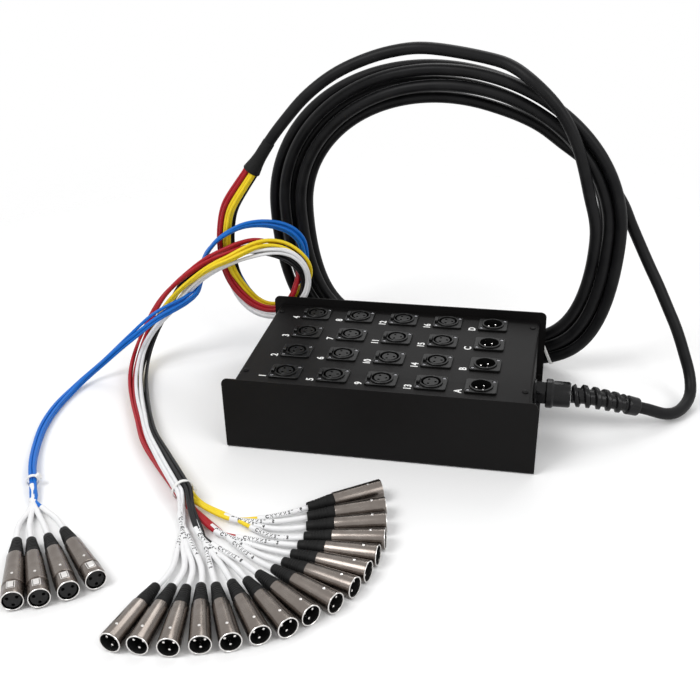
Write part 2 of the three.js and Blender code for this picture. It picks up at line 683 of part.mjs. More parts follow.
// Latch button of a female line plug
function plugLatch() {
  const outline = cutRectangle(LATCH_LENGTH, LATCH_HEIGHT, TAB_CORNER_CUT);
  const button = extruded(outline, LATCH_WIDTH, 1);
  button.rotateX(Math.PI / 2);
  button.translate(-LATCH_SETBACK - LATCH_LENGTH / 2, LATCH_WIDTH / 2, latchFloor() + LATCH_HEIGHT / 2);
  return toSolid(button);
}

// A plug as it lies: its face in its place, turned to its heading and tilted down to its rear
function plugMatrix([x, y, heading], { tilt, height }) {
  const matrix = new THREE.Matrix4().makeRotationZ(THREE.MathUtils.degToRad(heading));
  matrix.multiply(new THREE.Matrix4().makeRotationY(-tilt));
  matrix.setPosition(x, y, height);
  return matrix;
}

// Gland: threaded stub through the end wall, washer flange, hexagon, collar and barrel in one moulding
function glandBody() {
  const start = endWallOutside + FIT;
  const washerEnd = start + GLAND_WASHER_LENGTH;
  const hexEnd = start + GLAND_WASHER_LENGTH + GLAND_HEX_LENGTH;
  const collarEnd = hexEnd + GLAND_COLLAR_LENGTH;
  const barrelEnd = collarEnd + GLAND_BARREL_LENGTH;
  const stubStart = endWallOutside - SHEET - GLAND_THREAD_LENGTH;
  const washer = GLAND_WASHER_DIAMETER / 2;
  const collar = GLAND_COLLAR_DIAMETER / 2;
  const barrel = GLAND_BARREL_DIAMETER / 2;
  const profile = [[stubStart, 0], [stubStart, GLAND_THREAD_DIAMETER / 2], [start, GLAND_THREAD_DIAMETER / 2],
    [start, washer], [washerEnd, washer], [washerEnd, GLAND_THREAD_DIAMETER / 2],
    [hexEnd, GLAND_THREAD_DIAMETER / 2], [hexEnd, collar - GLAND_CHAMFER], [hexEnd + GLAND_CHAMFER, collar],
    [collarEnd - GLAND_CHAMFER, collar], [collarEnd, barrel], [barrelEnd - GLAND_CHAMFER, barrel],
    [barrelEnd, barrel - GLAND_CHAMFER], [barrelEnd, 0]];
  const round = turned(profile.reverse(), 16);
  const hexagon = cylinder(GLAND_HEX_DIAMETER, washerEnd - SHEET / 2, hexEnd + SHEET / 2, HEX_SIDES);
  hexagon.rotateY(Math.PI / 2);
  return toSolid(round).add(toSolid(hexagon)).translate([0, GLAND_ALONG_BACK, GLAND_HEIGHT]);
}

function glandLocknut() {
  const end = endWallOutside - SHEET - FIT;
  const nut = cylinder(LOCKNUT_DIAMETER, end - LOCKNUT_LENGTH, end, HEX_SIDES);
  nut.rotateY(Math.PI / 2);
  const bore = cylinder(GLAND_THREAD_DIAMETER + 2 * FIT, end - LOCKNUT_LENGTH - OVERRUN, end + OVERRUN, 16);
  bore.rotateY(Math.PI / 2);
  return toSolid(nut).subtract(toSolid(bore)).translate([0, GLAND_ALONG_BACK, GLAND_HEIGHT]);
}

// Strain relief: a tapered sleeve with one helical rib, which droops with the cable, and a plain end
// collar. The rib is a wave of radius that turns once round the sleeve in each pitch.
function strainRelief() {
  const path = new THREE.CatmullRomCurve3(vectors(RELIEF_ROUTE), false, 'centripetal');
  const length = path.getLength();
  const ribbed = length - RELIEF_COLLAR_LENGTH;
  const pitch = ribbed / (RELIEF_RIB_COUNT + 0.5);
  const stations = [];
  for (let i = 0; i <= RELIEF_RING_STEPS; i += 1) stations.push((ribbed * i) / RELIEF_RING_STEPS);
  stations.push(ribbed + GLAND_CHAMFER, length - GLAND_CHAMFER, length);
  const centres = stations.map((s) => path.getPointAt(Math.min(s / length, 1)));
  const frames = carriedFrames(centres, new THREE.Vector3(0, 0, 1));
  const rings = stations.map((s, i) => {
    const share = s / length;
    const outer = THREE.MathUtils.lerp(RELIEF_ROOT_DIAMETER, RELIEF_END_DIAMETER, share) / 2;
    const core = THREE.MathUtils.lerp(RELIEF_CORE_ROOT_DIAMETER, RELIEF_CORE_END_DIAMETER, share) / 2;
    const radiusAt = (turn) => {
      if (s > ribbed) return outer - (s === length ? GLAND_CHAMFER : 0);
      const phase = THREE.MathUtils.euclideanModulo(s / pitch - turn / (2 * Math.PI), 1);
      const rise = Math.min(phase, RELIEF_RIB_SHARE - phase) / RELIEF_SLOPE_SHARE;
      const ends = Math.min(s, ribbed - s) / (pitch / 2);
      const runout = THREE.MathUtils.clamp(ends + RELIEF_RUNOUT_SHARE, 0, 1);
      return core + (outer - core) * THREE.MathUtils.clamp(rise, 0, 1) * runout;
    };
    return ringAround(centres[i], frames[i], radiusAt, RELIEF_SIDES);
  });
  return toSolid(skinned(rings));
}

// Coil: the cable comes in from outside, crosses behind to the innermost place, winds outward in the
// back layer, climbs to the front layer in the half turn where the spiral reverses, winds inward, and
// crosses in front to leave over the top. A slot counts turns in from the outermost one, and a layer
// counts cable pitches behind the coil's middle plane.
function coilSlot(degrees) {
  const innermost = (COIL_REVERSE_DEGREES - COIL_INNER_DEGREES) / FULL_TURN_DEGREES;
  const leaving = (COIL_LEAVE_DEGREES - COIL_REVERSE_DEGREES) / FULL_TURN_DEGREES;
  if (degrees < COIL_INNER_DEGREES) {
    const left = (COIL_INNER_DEGREES - degrees) / (COIL_INNER_DEGREES - COIL_ENTRY_DEGREES);
    return innermost - (innermost - COIL_ENTRY_SLOT) * left ** COIL_ENTRY_POWER;
  }
  if (degrees < COIL_REVERSE_DEGREES) return innermost - (degrees - COIL_INNER_DEGREES) / FULL_TURN_DEGREES;
  if (degrees < COIL_LEAVE_DEGREES) return (degrees - COIL_REVERSE_DEGREES) / FULL_TURN_DEGREES;
  const crossed = (degrees - COIL_LEAVE_DEGREES) / (COIL_LAST_DEGREES - COIL_LEAVE_DEGREES);
  return leaving - (leaving - COIL_EXIT_SLOT) * smooth(crossed);
}

function coilLayer(degrees) {
  const climb = smooth((degrees - COIL_REVERSE_DEGREES + COIL_CLIMB_DEGREES / 2) / COIL_CLIMB_DEGREES);
  const arrived = smooth((degrees - COIL_INNER_DEGREES) / COIL_CROSSING_DEGREES);
  const lifted = smooth((degrees - COIL_LEAVE_DEGREES + COIL_CROSSING_DEGREES) / COIL_CROSSING_DEGREES);
  const laid = smooth((degrees - COIL_LAYING_DEGREES) / (COIL_LAST_DEGREES - COIL_LAYING_DEGREES));
  return COIL_BACK_LAYER + 1 - arrived - climb - lifted + laid;
}

// How loosely the turns lie: 0 at the coil's right side and 1 at its left, where they bulge and spread, and
// the front layer shows in the gaps of the back one
function coilLooseness(degrees) {
  if (degrees < 0 || degrees > COIL_TURNS * FULL_TURN_DEGREES) return 0;
  return (1 - Math.cos(THREE.MathUtils.degToRad(degrees))) / 2;
}

function coilPoint(degrees) {
  const turn = THREE.MathUtils.degToRad(degrees);
  const [c, s] = [Math.cos(turn), Math.sin(turn)];
  const inward = coilSlot(degrees) * COIL_PITCH;
  const loose = coilLooseness(degrees);
  const loosened = inward * (1 + COIL_SPREAD_SHARE * loose) - COIL_BULGE * loose;
  const power = 1 - COIL_FLAT_SHARE * Math.sqrt(Math.max(0, -s));
  const across = (COIL_HALF_WIDTH - loosened) * Math.sign(c) * Math.abs(c) ** power;
  const rise = (COIL_HALF_HEIGHT - (s > 0 ? loosened : inward)) * Math.sign(s) * Math.abs(s) ** power;
  const behind = coilLayer(degrees) * COIL_PITCH;
  const yaw = THREE.MathUtils.degToRad(COIL_YAW_DEGREES);
  const lean = Math.tan(THREE.MathUtils.degToRad(COIL_LEAN_DEGREES));
  const z = coilMiddle() + rise;
  return new THREE.Vector3(
    COIL_CENTRE_ACROSS + across * Math.cos(yaw) - behind * Math.sin(yaw),
    COIL_CENTRE_BACK + across * Math.sin(yaw) + behind * Math.cos(yaw) - z * lean,
    z,
  );
}

// The height of the coil's middle, from its lowest turn, which passes under it just after the reversal
function coilMiddle() {
  const lowest = coilSlot(COIL_REVERSE_DEGREES + FULL_TURN_DEGREES / 6);
  return COIL_HALF_HEIGHT - lowest * COIL_PITCH + multicoreRadius + COIL_FLOOR_GAP;
}

function coilLine() {
  const span = COIL_LAST_DEGREES - COIL_ENTRY_DEGREES;
  const steps = Math.round((span / FULL_TURN_DEGREES) * COIL_STEPS_PER_TURN);
  const points = [];
  for (let i = 0; i <= steps; i += 1) points.push(coilPoint(COIL_ENTRY_DEGREES + (span * i) / steps));
  const [first, second] = points;
  const [last, beforeLast] = [points[points.length - 1], points[points.length - 2]];
  const runIn = first.clone().sub(second).setLength(MULTICORE_DIAMETER).add(first);
  const runOut = last.clone().sub(beforeLast).setLength(MULTICORE_DIAMETER).add(last);
  return [runIn, ...points, runOut];
}

function coilSolid(line) {
  const frames = carriedFrames(line, new THREE.Vector3(0, 1, 0));
  const rings = line.map((point, i) => ringAround(point, frames[i], () => multicoreRadius, COIL_SIDES));
  return toSolid(skinned(rings));
}

// The least clear gap between turns of the coil, from the distances between its centre line's segments
function leastSelfGap(line, diameter) {
  const apart = Math.ceil(COIL_STEPS_PER_TURN / 3);
  let least = Infinity;
  const [here, there] = [new THREE.Line3(), new THREE.Line3()];
  const near = new THREE.Vector3();
  for (let i = 0; i + 1 < line.length; i += 1) {
    here.set(line[i], line[i + 1]);
    for (let j = i + apart; j + 1 < line.length; j += 1) {
      there.set(line[j], line[j + 1]);
      for (let k = 0; k <= 4; k += 1) {
        const point = here.at(k / 4, new THREE.Vector3());
        there.closestPointToPoint(point, true, near);
        least = Math.min(least, near.distanceTo(point) - diameter);
      }
    }
  }
  return least;
}

// A point beyond or before an end of a line, along its last straight run
function beyond(end, inner, distance) {
  return end.clone().sub(inner).setLength(distance).add(end);
}

// A group of four tails drawn as one fat tube: its place in the bundle is an angle and a spread
function bundleLine(route, cornerDegrees, spread) {
  const centres = stationsAlong(route, true);
  const frames = carriedFrames(centres, new THREE.Vector3(0, 0, 1));
  const reached = [0];
  for (let i = 1; i < centres.length; i += 1) reached.push(reached[i - 1] + centres[i].distanceTo(centres[i - 1]));
  const total = reached[reached.length - 1];
  return centres.map((centre, i) => {
    const turn = THREE.MathUtils.degToRad(cornerDegrees + layTurn(reached[i] / total));
    return centre.clone()
      .addScaledVector(frames[i].up, spread * Math.sin(turn))
      .addScaledVector(frames[i].side, -spread * Math.cos(turn));
  });
}

// How far the bundle's groups have turned at a share of its length, eased between the places of the table
function layTurn(share) {
  const next = Math.max(1, BUNDLE_LAY.findIndex(([place]) => place >= share));
  const [[from, before], [to, after]] = [BUNDLE_LAY[next - 1], BUNDLE_LAY[next]];
  return before + (after - before) * smooth((share - from) / (to - from));
}

// One sleeve from the end of its group to the boot of its plug, which it meets square
function sleeve(groupEnd, groupDirection, matrix, shellLength) {
  const bootEnd = new THREE.Vector3(-shellLength - BOOT_LENGTH - FIT, 0, 0).applyMatrix4(matrix);
  const before = new THREE.Vector3(-shellLength - 2 * BOOT_LENGTH, 0, 0).applyMatrix4(matrix);
  const start = groupEnd.clone().addScaledVector(groupDirection, -TAIL_GROUP_DIAMETER);
  const rest = TAIL_SLEEVE_DIAMETER / 2 + FIT;
  before.z = Math.max(rest, (before.z + rest) / 2);
  const middle = groupEnd.clone().lerp(before, 0.5);
  middle.z = rest + TAIL_SLEEVE_DIAMETER / 8;
  return routed([start, groupEnd, middle, before, bootEnd], TAIL_SLEEVE_DIAMETER, false);
}

function tailGroup(line, matrices, shellLength) {
  const fat = tube(line, TAIL_GROUP_DIAMETER);
  const end = line[line.length - 1];
  const direction = end.clone().sub(line[line.length - 2]).normalize();
  return joined([toSolid(fat), ...matrices.map((m) => toSolid(sleeve(end, direction, m, shellLength)))]);
}

// A band round a bundle, on the straight run of its line that passes nearest to a place
function tieBand(line, near, width, radius, cornerSteps) {
  const runs = line.slice(1).map((end, i) => new THREE.Line3(line[i], end));
  const distance = (run) => run.closestPointToPoint(near, true, new THREE.Vector3()).distanceTo(near);
  const run = runs.reduce((best, next) => (distance(next) < distance(best) ? next : best));
  const margin = TIE_WIDTH / run.distance();
  const share = THREE.MathUtils.clamp(run.closestPointToPointParameter(near, true), margin, 1 - margin);
  const outer = width + 2 * TIE_THICKNESS;
  const band = roundedRectangle(outer, outer, radius + TIE_THICKNESS);
  band.holes.push(roundedRectangle(width, width, radius));
  const geometry = extruded(band, TIE_WIDTH, cornerSteps);
  geometry.translate(0, 0, -TIE_WIDTH / 2);
  const along = run.delta(new THREE.Vector3()).normalize();
  const side = new THREE.Vector3(0, 0, 1).cross(along).normalize();
  const basis = new THREE.Matrix4().makeBasis(side, along.clone().cross(side), along);
  basis.setPosition(run.at(share, new THREE.Vector3()));
  geometry.applyMatrix4(basis);
  return toSolid(geometry);
}

// Materials, one for each finish
const finishes = {
  boxPaint: [0x0b0b0d, 0.45, 0.1],
  socketPlastic: [0x111113, 0.5, 0.0],
  blackRubber: [0x101010, 0.6, 0.0],
  glandPlastic: [0x0c0c0c, 0.25, 0.0],
  cableJacket: [0x141416, 0.5, 0.0],
  gunmetal: [0x6b625c, 0.25, 1.0],
  whiteTail: [0xf2f2f2, 0.45, 0.0],
  blackTail: [0x151515, 0.45, 0.0],
  redTail: [0xb5252f, 0.45, 0.0],
  yellowTail: [0xe6cf3a, 0.45, 0.0],
  blueTail: [0x1f78d8, 0.45, 0.0],
  tieNylon: [0xf4f4f0, 0.5, 0.0],
};

const model = new THREE.Group();

function addMesh(name, geometry, finish, matrix) {
  const [color, roughness, metalness] = finishes[finish];
  const mesh = new THREE.Mesh(geometry, new THREE.MeshStandardMaterial({ color, roughness, metalness }));
  mesh.name = name;
  if (matrix) mesh.applyMatrix4(matrix);
  model.add(mesh);
}

function addPart(name, solid, finish, matrix) {
  addMesh(name, toGeometry(solid), finish, matrix);
}

function twoDigits(number) {
  return String(number).padStart(2, '0');
}

addPart('base_pan', basePan(), 'boxPaint');
addPart('top_cover', topCover(), 'boxPaint');

const places = socketPlaces();
const tab = latchTab();
const maleSocketSolid = maleSocket();
const letters = ['A', 'B', 'C', 'D'];
places.forEach(([x, y], i) => {
  const letter = letters[i - (places.length - SOCKET_ROWS)];
  const at = new THREE.Matrix4().makeTranslation(x, y, panelTop);
  const raised = new THREE.Matrix4().makeTranslation(x, y, panelTop + FIT);
  if (letter) addPart(`receptacle_${letter}`, maleSocketSolid, 'socketPlastic', raised);
  else addPart(`latch_tab_${twoDigits(i + 1)}`, tab, 'gunmetal', at);
});

addPart('gland_body', glandBody(), 'glandPlastic');
addPart('gland_locknut', glandLocknut(), 'glandPlastic');
addPart('strain_relief', strainRelief(), 'glandPlastic');

const line = coilLine();
console.log(`multicore coil: least gap to itself ${leastSelfGap(line, MULTICORE_DIAMETER).toFixed(2)} mm`);
addPart('multicore_coil', coilSolid(line), 'cableJacket');

const reliefEnd = new THREE.Vector3(...RELIEF_ROUTE[RELIEF_ROUTE.length - 1]);
const reliefBefore = new THREE.Vector3(...RELIEF_ROUTE[RELIEF_ROUTE.length - 2]);
const exitLine = [beyond(reliefEnd, reliefBefore, FIT), beyond(reliefEnd, reliefBefore, MULTICORE_DIAMETER),
  ...vectors(EXIT_ROUTE),
  beyond(line[0], line[1], MULTICORE_DIAMETER), beyond(line[0], line[1], FIT)];
addPart('multicore_exit', toSolid(routed(exitLine, MULTICORE_DIAMETER, true)), 'cableJacket');

const [coilEnd, coilBeforeEnd] = [line[line.length - 1], line[line.length - 2]];
const leadLine = [beyond(coilEnd, coilBeforeEnd, FIT), beyond(coilEnd, coilBeforeEnd, MULTICORE_DIAMETER),
  ...vectors(LEAD_ROUTE)];
addPart('multicore_lead', toSolid(routed(leadLine, MULTICORE_DIAMETER, true)), 'cableJacket');

const leadEnd = leadLine[leadLine.length - 1];
const leadBeforeEnd = leadLine[leadLine.length - 2];
const sleeveStart = beyond(leadEnd, leadBeforeEnd, FIT);
const breakoutWay = sleeveStart.clone().sub(leadEnd).normalize();
const breakout = turned([[0, 0], [BREAKOUT_LENGTH, 0], [BREAKOUT_LENGTH, BREAKOUT_END_DIAMETER / 2],
  [BREAKOUT_LENGTH / 2, BREAKOUT_START_DIAMETER / 2], [0, BREAKOUT_START_DIAMETER / 2], [0, 0]], 12);
const breakoutTurn = new THREE.Quaternion().setFromUnitVectors(new THREE.Vector3(1, 0, 0), breakoutWay);
const breakoutMatrix = new THREE.Matrix4().makeRotationFromQuaternion(breakoutTurn).setPosition(sleeveStart);
addPart('breakout_sleeve', toSolid(breakout), 'blackRubber', breakoutMatrix);

// The first stretch of a bundle, straight out of the breakout sleeve and to one side of its middle
function outOfBreakout(shift) {
  const sideways = new THREE.Vector3(0, 1, 0);
  sideways.addScaledVector(breakoutWay, -sideways.dot(breakoutWay)).normalize();
  return [FIT, MULTICORE_DIAMETER].map((distance) => sleeveStart.clone()
    .addScaledVector(breakoutWay, BREAKOUT_LENGTH + distance)
    .addScaledVector(sideways, shift));
}

const malePlugSolid = malePlug();
const maleMatrices = MALE_PLUGS.map((place) => plugMatrix(place, plugLie));
maleMatrices.forEach((matrix, i) => addPart(`male_plug_${twoDigits(i + 1)}`, malePlugSolid, 'gunmetal', matrix));

const femalePlugSolid = femalePlug();
const latchSolid = plugLatch();
const femaleMatrices = letters.map((letter) => {
  const matrix = plugMatrix(FEMALE_PLUGS[letter], socketPlugLie);
  addPart(`female_plug_${letter}`, femalePlugSolid, 'gunmetal', matrix);
  addPart(`plug_latch_${letter}`, latchSolid, 'gunmetal', matrix);
  return matrix;
});

const sendRoute = [...outOfBreakout(SEND_SHIFT), ...vectors(SEND_ROUTE)];
GROUP_NAMES.forEach((colour, g) => {
  const { corner, points } = GROUP_ENDS[colour];
  const groupLine = [...bundleLine(sendRoute, corner, GROUP_SPREAD), ...vectors(points)];
  const matrices = maleMatrices.slice(g * PLUGS_PER_GROUP, (g + 1) * PLUGS_PER_GROUP);
  addPart(`tails_${colour}`, tailGroup(groupLine, matrices, PLUG_SHELL_LENGTH), `${colour}Tail`);
});
const returnRoute = [...outOfBreakout(RETURN_SHIFT), ...vectors([...RETURN_ROUTE, ...RETURN_END])];
const returnLine = stationsAlong(returnRoute, true);
addPart('tails_blue', tailGroup(returnLine, femaleMatrices, SOCKET_PLUG_SHELL_LENGTH), 'blueTail');

const bundleWidth = 2 * (GROUP_SPREAD + groupRadius + FIT);
const sendMiddle = bundleLine(sendRoute, 0, 0);
const sendBand = tieBand(sendMiddle, new THREE.Vector3(...SEND_TIE), bundleWidth, bundleWidth / 2, SEND_TIE_STEPS);
addPart('tie_send', sendBand, 'tieNylon');
const returnWidth = 2 * (groupRadius + FIT);
const returnBand = tieBand(returnLine, new THREE.Vector3(...RETURN_TIE), returnWidth, groupRadius, RETURN_TIE_STEPS);
addPart('tie_return', returnBand, 'tieNylon');

export default model;
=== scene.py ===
import math
import bmesh
import bpy
import numpy as np
from mathutils import Matrix, Vector


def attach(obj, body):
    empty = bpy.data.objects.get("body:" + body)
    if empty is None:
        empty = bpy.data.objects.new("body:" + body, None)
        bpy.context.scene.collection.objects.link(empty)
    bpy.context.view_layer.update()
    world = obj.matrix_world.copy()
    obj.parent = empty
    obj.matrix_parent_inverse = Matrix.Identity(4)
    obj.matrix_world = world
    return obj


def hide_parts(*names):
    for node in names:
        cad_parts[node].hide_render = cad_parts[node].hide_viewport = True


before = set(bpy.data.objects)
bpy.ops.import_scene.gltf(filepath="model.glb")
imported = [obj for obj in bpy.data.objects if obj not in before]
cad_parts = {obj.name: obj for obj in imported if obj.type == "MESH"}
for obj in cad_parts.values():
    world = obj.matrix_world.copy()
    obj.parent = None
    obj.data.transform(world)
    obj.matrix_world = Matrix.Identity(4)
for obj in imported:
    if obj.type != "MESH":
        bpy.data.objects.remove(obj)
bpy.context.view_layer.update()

scene = bpy.context.scene
scene.view_settings.view_transform = "Standard"

# Camera
# Placed from the photograph by the box's edges and the grid of sockets on its panel: it looks from the
# front, a little to the right and from above, and is rolled slightly.
CAMERA_PLACE = Vector((0.162, -0.9139, 0.558))
CAMERA_TURN = math.radians(12.746)
CAMERA_DROP = math.radians(27.637)
CAMERA_ROLL = math.radians(-1.792)
CAMERA_LENS, CAMERA_SENSOR = 52.304, 36.0


def added(name, data):
    """A new object in the scene."""
    thing = bpy.data.objects.new(name, data)
    scene.collection.objects.link(thing)
    return thing


lens = bpy.data.cameras.new("photo_camera")
lens.lens, lens.sensor_width, lens.clip_start = CAMERA_LENS, CAMERA_SENSOR, 0.05
scene.camera = added("photo_camera", lens)
scene.camera.matrix_world = (
    Matrix.Translation(CAMERA_PLACE) @ Matrix.Rotation(CAMERA_TURN, 4, "Z")
    @ Matrix.Rotation(math.radians(90) - CAMERA_DROP, 4, "X") @ Matrix.Rotation(CAMERA_ROLL, 4, "Z"))


# Multicore cable
# A long black jacketed cable of twenty screened pairs. It leaves the gland, goes behind the box into a
# coil that stands on edge, and comes over the top of the coil to the breakout sleeve.
class Wire:
    """A shader socket that takes part in sums."""

    def __init__(self, nodes, socket):
        self.nodes, self.socket = nodes, socket

    def sum(self, operation, *values):
        return self.nodes.node("ShaderNodeMath", {"operation": operation}, dict(enumerate(values)))

    def __add__(self, other):
        return self.sum("ADD", self, other)

    __radd__ = __add__

    def __mul__(self, other):
        return self.sum("MULTIPLY", self, other)

    def __rsub__(self, other):
        return self.sum("SUBTRACT", other, self)

    def above(self, level, soft):
        """0 below a level and 1 above it, with a soft step between."""
        return self.nodes.node("ShaderNodeMapRange", {"interpolation_type": "SMOOTHSTEP"},
                               {"Value": self, "From Min": level - soft, "From Max": level + soft})


class Nodes:
    """The node tree of a material or a world."""

    def __init__(self, tree):
        self.tree = tree

    def node(self, kind, settings, values, out=0):
        """A new node, its inputs set to values or fed by wires; a wire from one of its outputs comes back."""
        node = self.tree.nodes.new(kind)
        for name, value in settings.items():
            setattr(node, name, value)
        for name, value in values.items():
            if isinstance(value, Wire):
                self.tree.links.new(value.socket, node.inputs[name])
            else:
                node.inputs[name].default_value = value
        return Wire(self, node.outputs[out])


class Finish(Nodes):
    """A material made up from nodes, on top of plain shader values."""

    def __init__(self, name, **values):
        self.material = bpy.data.materials.new(name)
        self.material.use_nodes = True
        super().__init__(self.material.node_tree)
        self.shader = self.tree.nodes["Principled BSDF"]
        for socket, value in values.items():
            self.shader.inputs[socket.replace("_", " ")].default_value = value

    def place(self, *scale):
        """The place on the piece in metres, stretched by a scale along each axis."""
        place = self.node("ShaderNodeTexCoord", {}, {}, "Object")
        return self.node("ShaderNodeMapping", {}, {"Vector": place, "Scale": scale}) if scale else place

    def noise(self, scale, detail, place=None):
        return self.node("ShaderNodeTexNoise", {}, {"Vector": place or self.place(), "Scale": scale,
                                                    "Detail": detail}, "Fac")

    def mix(self, share, low, high):
        return self.node("ShaderNodeMix", {"data_type": "RGBA"}, {0: share, 6: low, 7: high}, 2)

    def feed(self, socket, wire):
        self.tree.links.new(wire.socket, self.shader.inputs[socket])

    def bump(self, height, depth, strength):
        bump = self.node("ShaderNodeBump", {}, {"Height": height, "Distance": depth, "Strength": strength})
        self.feed("Normal", bump)

    def uneven(self, scale, detail, low, depth, colours=None, bump=None):
        """One noise in the roughness, and where asked in the colour and the bumps too."""
        noise = self.noise(scale, detail)
        self.feed("Roughness", low + noise * depth)
        if colours:
            self.feed("Base Color", self.mix(noise, *colours))
        if bump:
            self.bump(noise, *bump)
        return self


def unit(way):
    return way / np.linalg.norm(way)


def last_way(route):
    """The direction in which a route ends."""
    return unit(np.subtract(route[-1], route[-2]))


def lengths_along(line):
    return np.concatenate([[0.0], np.cumsum(np.linalg.norm(np.diff(line, axis=0), axis=1))])


def rows_at(wanted, along, rows):
    """Rows of three values, read between the points of a line at wanted lengths along it."""
    return np.stack([np.interp(wanted, along, rows[:, i]) for i in range(3)], axis=-1)


def smooth_line(route, step):
    """Points a step apart on the smooth line through a route, straight out of each of its ends."""
    points = [np.array(p, float) for p in route]
    points = [2 * points[0] - points[1]] + points + [2 * points[-1] - points[-2]]
    fine = []
    for a, b, c, d in zip(points, points[1:], points[2:], points[3:]):
        gaps = [max(math.sqrt(np.linalg.norm(q - p)), 1e-6) for p, q in ((a, b), (b, c), (c, d))]
        before = ((b - a) / gaps[0] - (c - a) / (gaps[0] + gaps[1]) + (c - b) / gaps[1]) * gaps[1]
        after = ((c - b) / gaps[1] - (d - b) / (gaps[1] + gaps[2]) + (d - c) / gaps[2]) * gaps[1]
        for t in np.linspace(0, 1, 24, endpoint=False):
            fine.append(b + before * t + (3 * (c - b) - 2 * before - after) * t ** 2
                        + (2 * (b - c) + before + after) * t ** 3)
    fine = np.array(fine + [points[-2]])
    along = lengths_along(fine)
    return rows_at(np.linspace(0, along[-1], int(round(along[-1] / step)) + 1), along, fine)


def carried_frames(line, last_up=(0, 0, 1)):
    """Two directions square to the line at each point, carried back from its end without twist."""
    ahead = np.gradient(line, axis=0)
    ahead /= np.linalg.norm(ahead, axis=1)[:, None]
    ups = np.zeros_like(line)
    up = np.array(last_up, float)
    for i in range(len(line) - 1, -1, -1):
        up = unit(up - ahead[i] * up.dot(ahead[i]))
        ups[i] = up
    return ups, np.cross(ahead, ups)


class Shape:
    """Skins and caps gathered into one mesh."""

    def __init__(self):
        self.verts, self.faces, self.picks = [], [], []

    def skin(self, loops, pick=0, caps=(False, False), place=None):
        """A skin over loops with as many points each, closed at its ends where asked."""
        loops = [np.array(loop, float) for loop in loops]
        if place is not None:
            place = np.array(place)
            loops = [loop @ place[:3, :3].T + place[:3, 3] for loop in loops]
        count, base = len(loops[0]), len(self.verts)
        for loop in loops:
            self.verts += [tuple(v) for v in loop]
        for r in range(len(loops) - 1):
            for i in range(count):
                j = (i + 1) % count
                a, b = base + r * count, base + (r + 1) * count
                self.face((a + i, a + j, b + j, b + i), pick)
        for wanted, start in zip(caps, (base, base + (len(loops) - 1) * count)):
            if wanted:
                self.face(range(start, start + count), pick)
        return self

    def face(self, corners, pick=0):
        self.faces.append(tuple(corners))
        self.picks.append(pick)

    def turn(self, profile, pick=0, count=40, place=None):
        """A body of revolution about X from (distance, radius) pairs; radius 0 closes it."""
        loops = [circle(max(radius, 1e-6), along, count) for along, radius in profile]
        return self.skin(loops, pick, (profile[0][1] == 0, profile[-1][1] == 0), place)

    def plate(self, loops):
        """A flat face between an outer loop and the holes in it."""
        work = bmesh.new()
        edges = []
        for loop in loops:
            verts = [work.verts.new(v) for v in loop]
            edges += [work.edges.new(pair) for pair in zip(verts, verts[1:] + verts[:1])]
        bmesh.ops.triangle_fill(work, use_beauty=True, edges=edges)
        base = len(self.verts)
        for i, vert in enumerate(work.verts):
            vert.index = i
            self.verts.append(tuple(vert.co))
        for face in work.faces:
            self.face(base + v.index for v in face.verts)
        work.free()

    def mesh(self, name, finishes, sharp=35):
        """The mesh, its faces turned outward and its shading smooth but at sharp edges."""
        mesh = bpy.data.meshes.new(name)
        mesh.from_pydata(self.verts, [], self.faces)
        mesh.polygons.foreach_set("material_index", self.picks)
        work = bmesh.new()
        work.from_mesh(mesh)
        bmesh.ops.remove_doubles(work, verts=work.verts, dist=2e-6)
        bmesh.ops.recalc_face_normals(work, faces=work.faces)
        work.to_mesh(mesh)
        work.free()
        for finish in finishes:
            mesh.materials.append(finish.material)
        mesh.shade_smooth()
        mesh.set_sharp_from_angle(angle=math.radians(sharp))
        return mesh


def put(name, mesh, place=None, replaced=()):
    """A piece of the object: a mesh in its place, carried by the box."""
    piece = added(name, mesh)
    piece.matrix_world = place or Matrix.Identity(4)
    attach(piece, "snake")
    if replaced:
        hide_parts(*replaced)
    return piece


def turns_of(count):
    """Equal steps once round."""
    return np.linspace(0, 2 * math.pi, count, endpoint=False)


def circle(radius, along, count=40):
    """A loop of points round the X axis, at one radius or a radius for each."""
    turns = turns_of(count)
    return np.column_stack([np.full(count, along), radius * np.cos(turns), radius * np.sin(turns)])


def ring(point, up, side, radius, count):
    """A loop of points about a point of a line, at one radius or a radius for each."""
    turns = turns_of(count)
    return point + np.outer(radius * np.cos(turns), up) + np.outer(radius * np.sin(turns), side)


def round_cord(name, line, diameter, finish, replaced=(), sides=12):
    """A round cord along a line of points, closed at both ends."""
    loops = [ring(*spot, diameter / 2, sides) for spot in zip(line, *carried_frames(line))]
    mesh = Shape().skin(loops, caps=(True, True)).mesh(name, [finish], 60)
    return put(name, mesh, replaced=replaced)


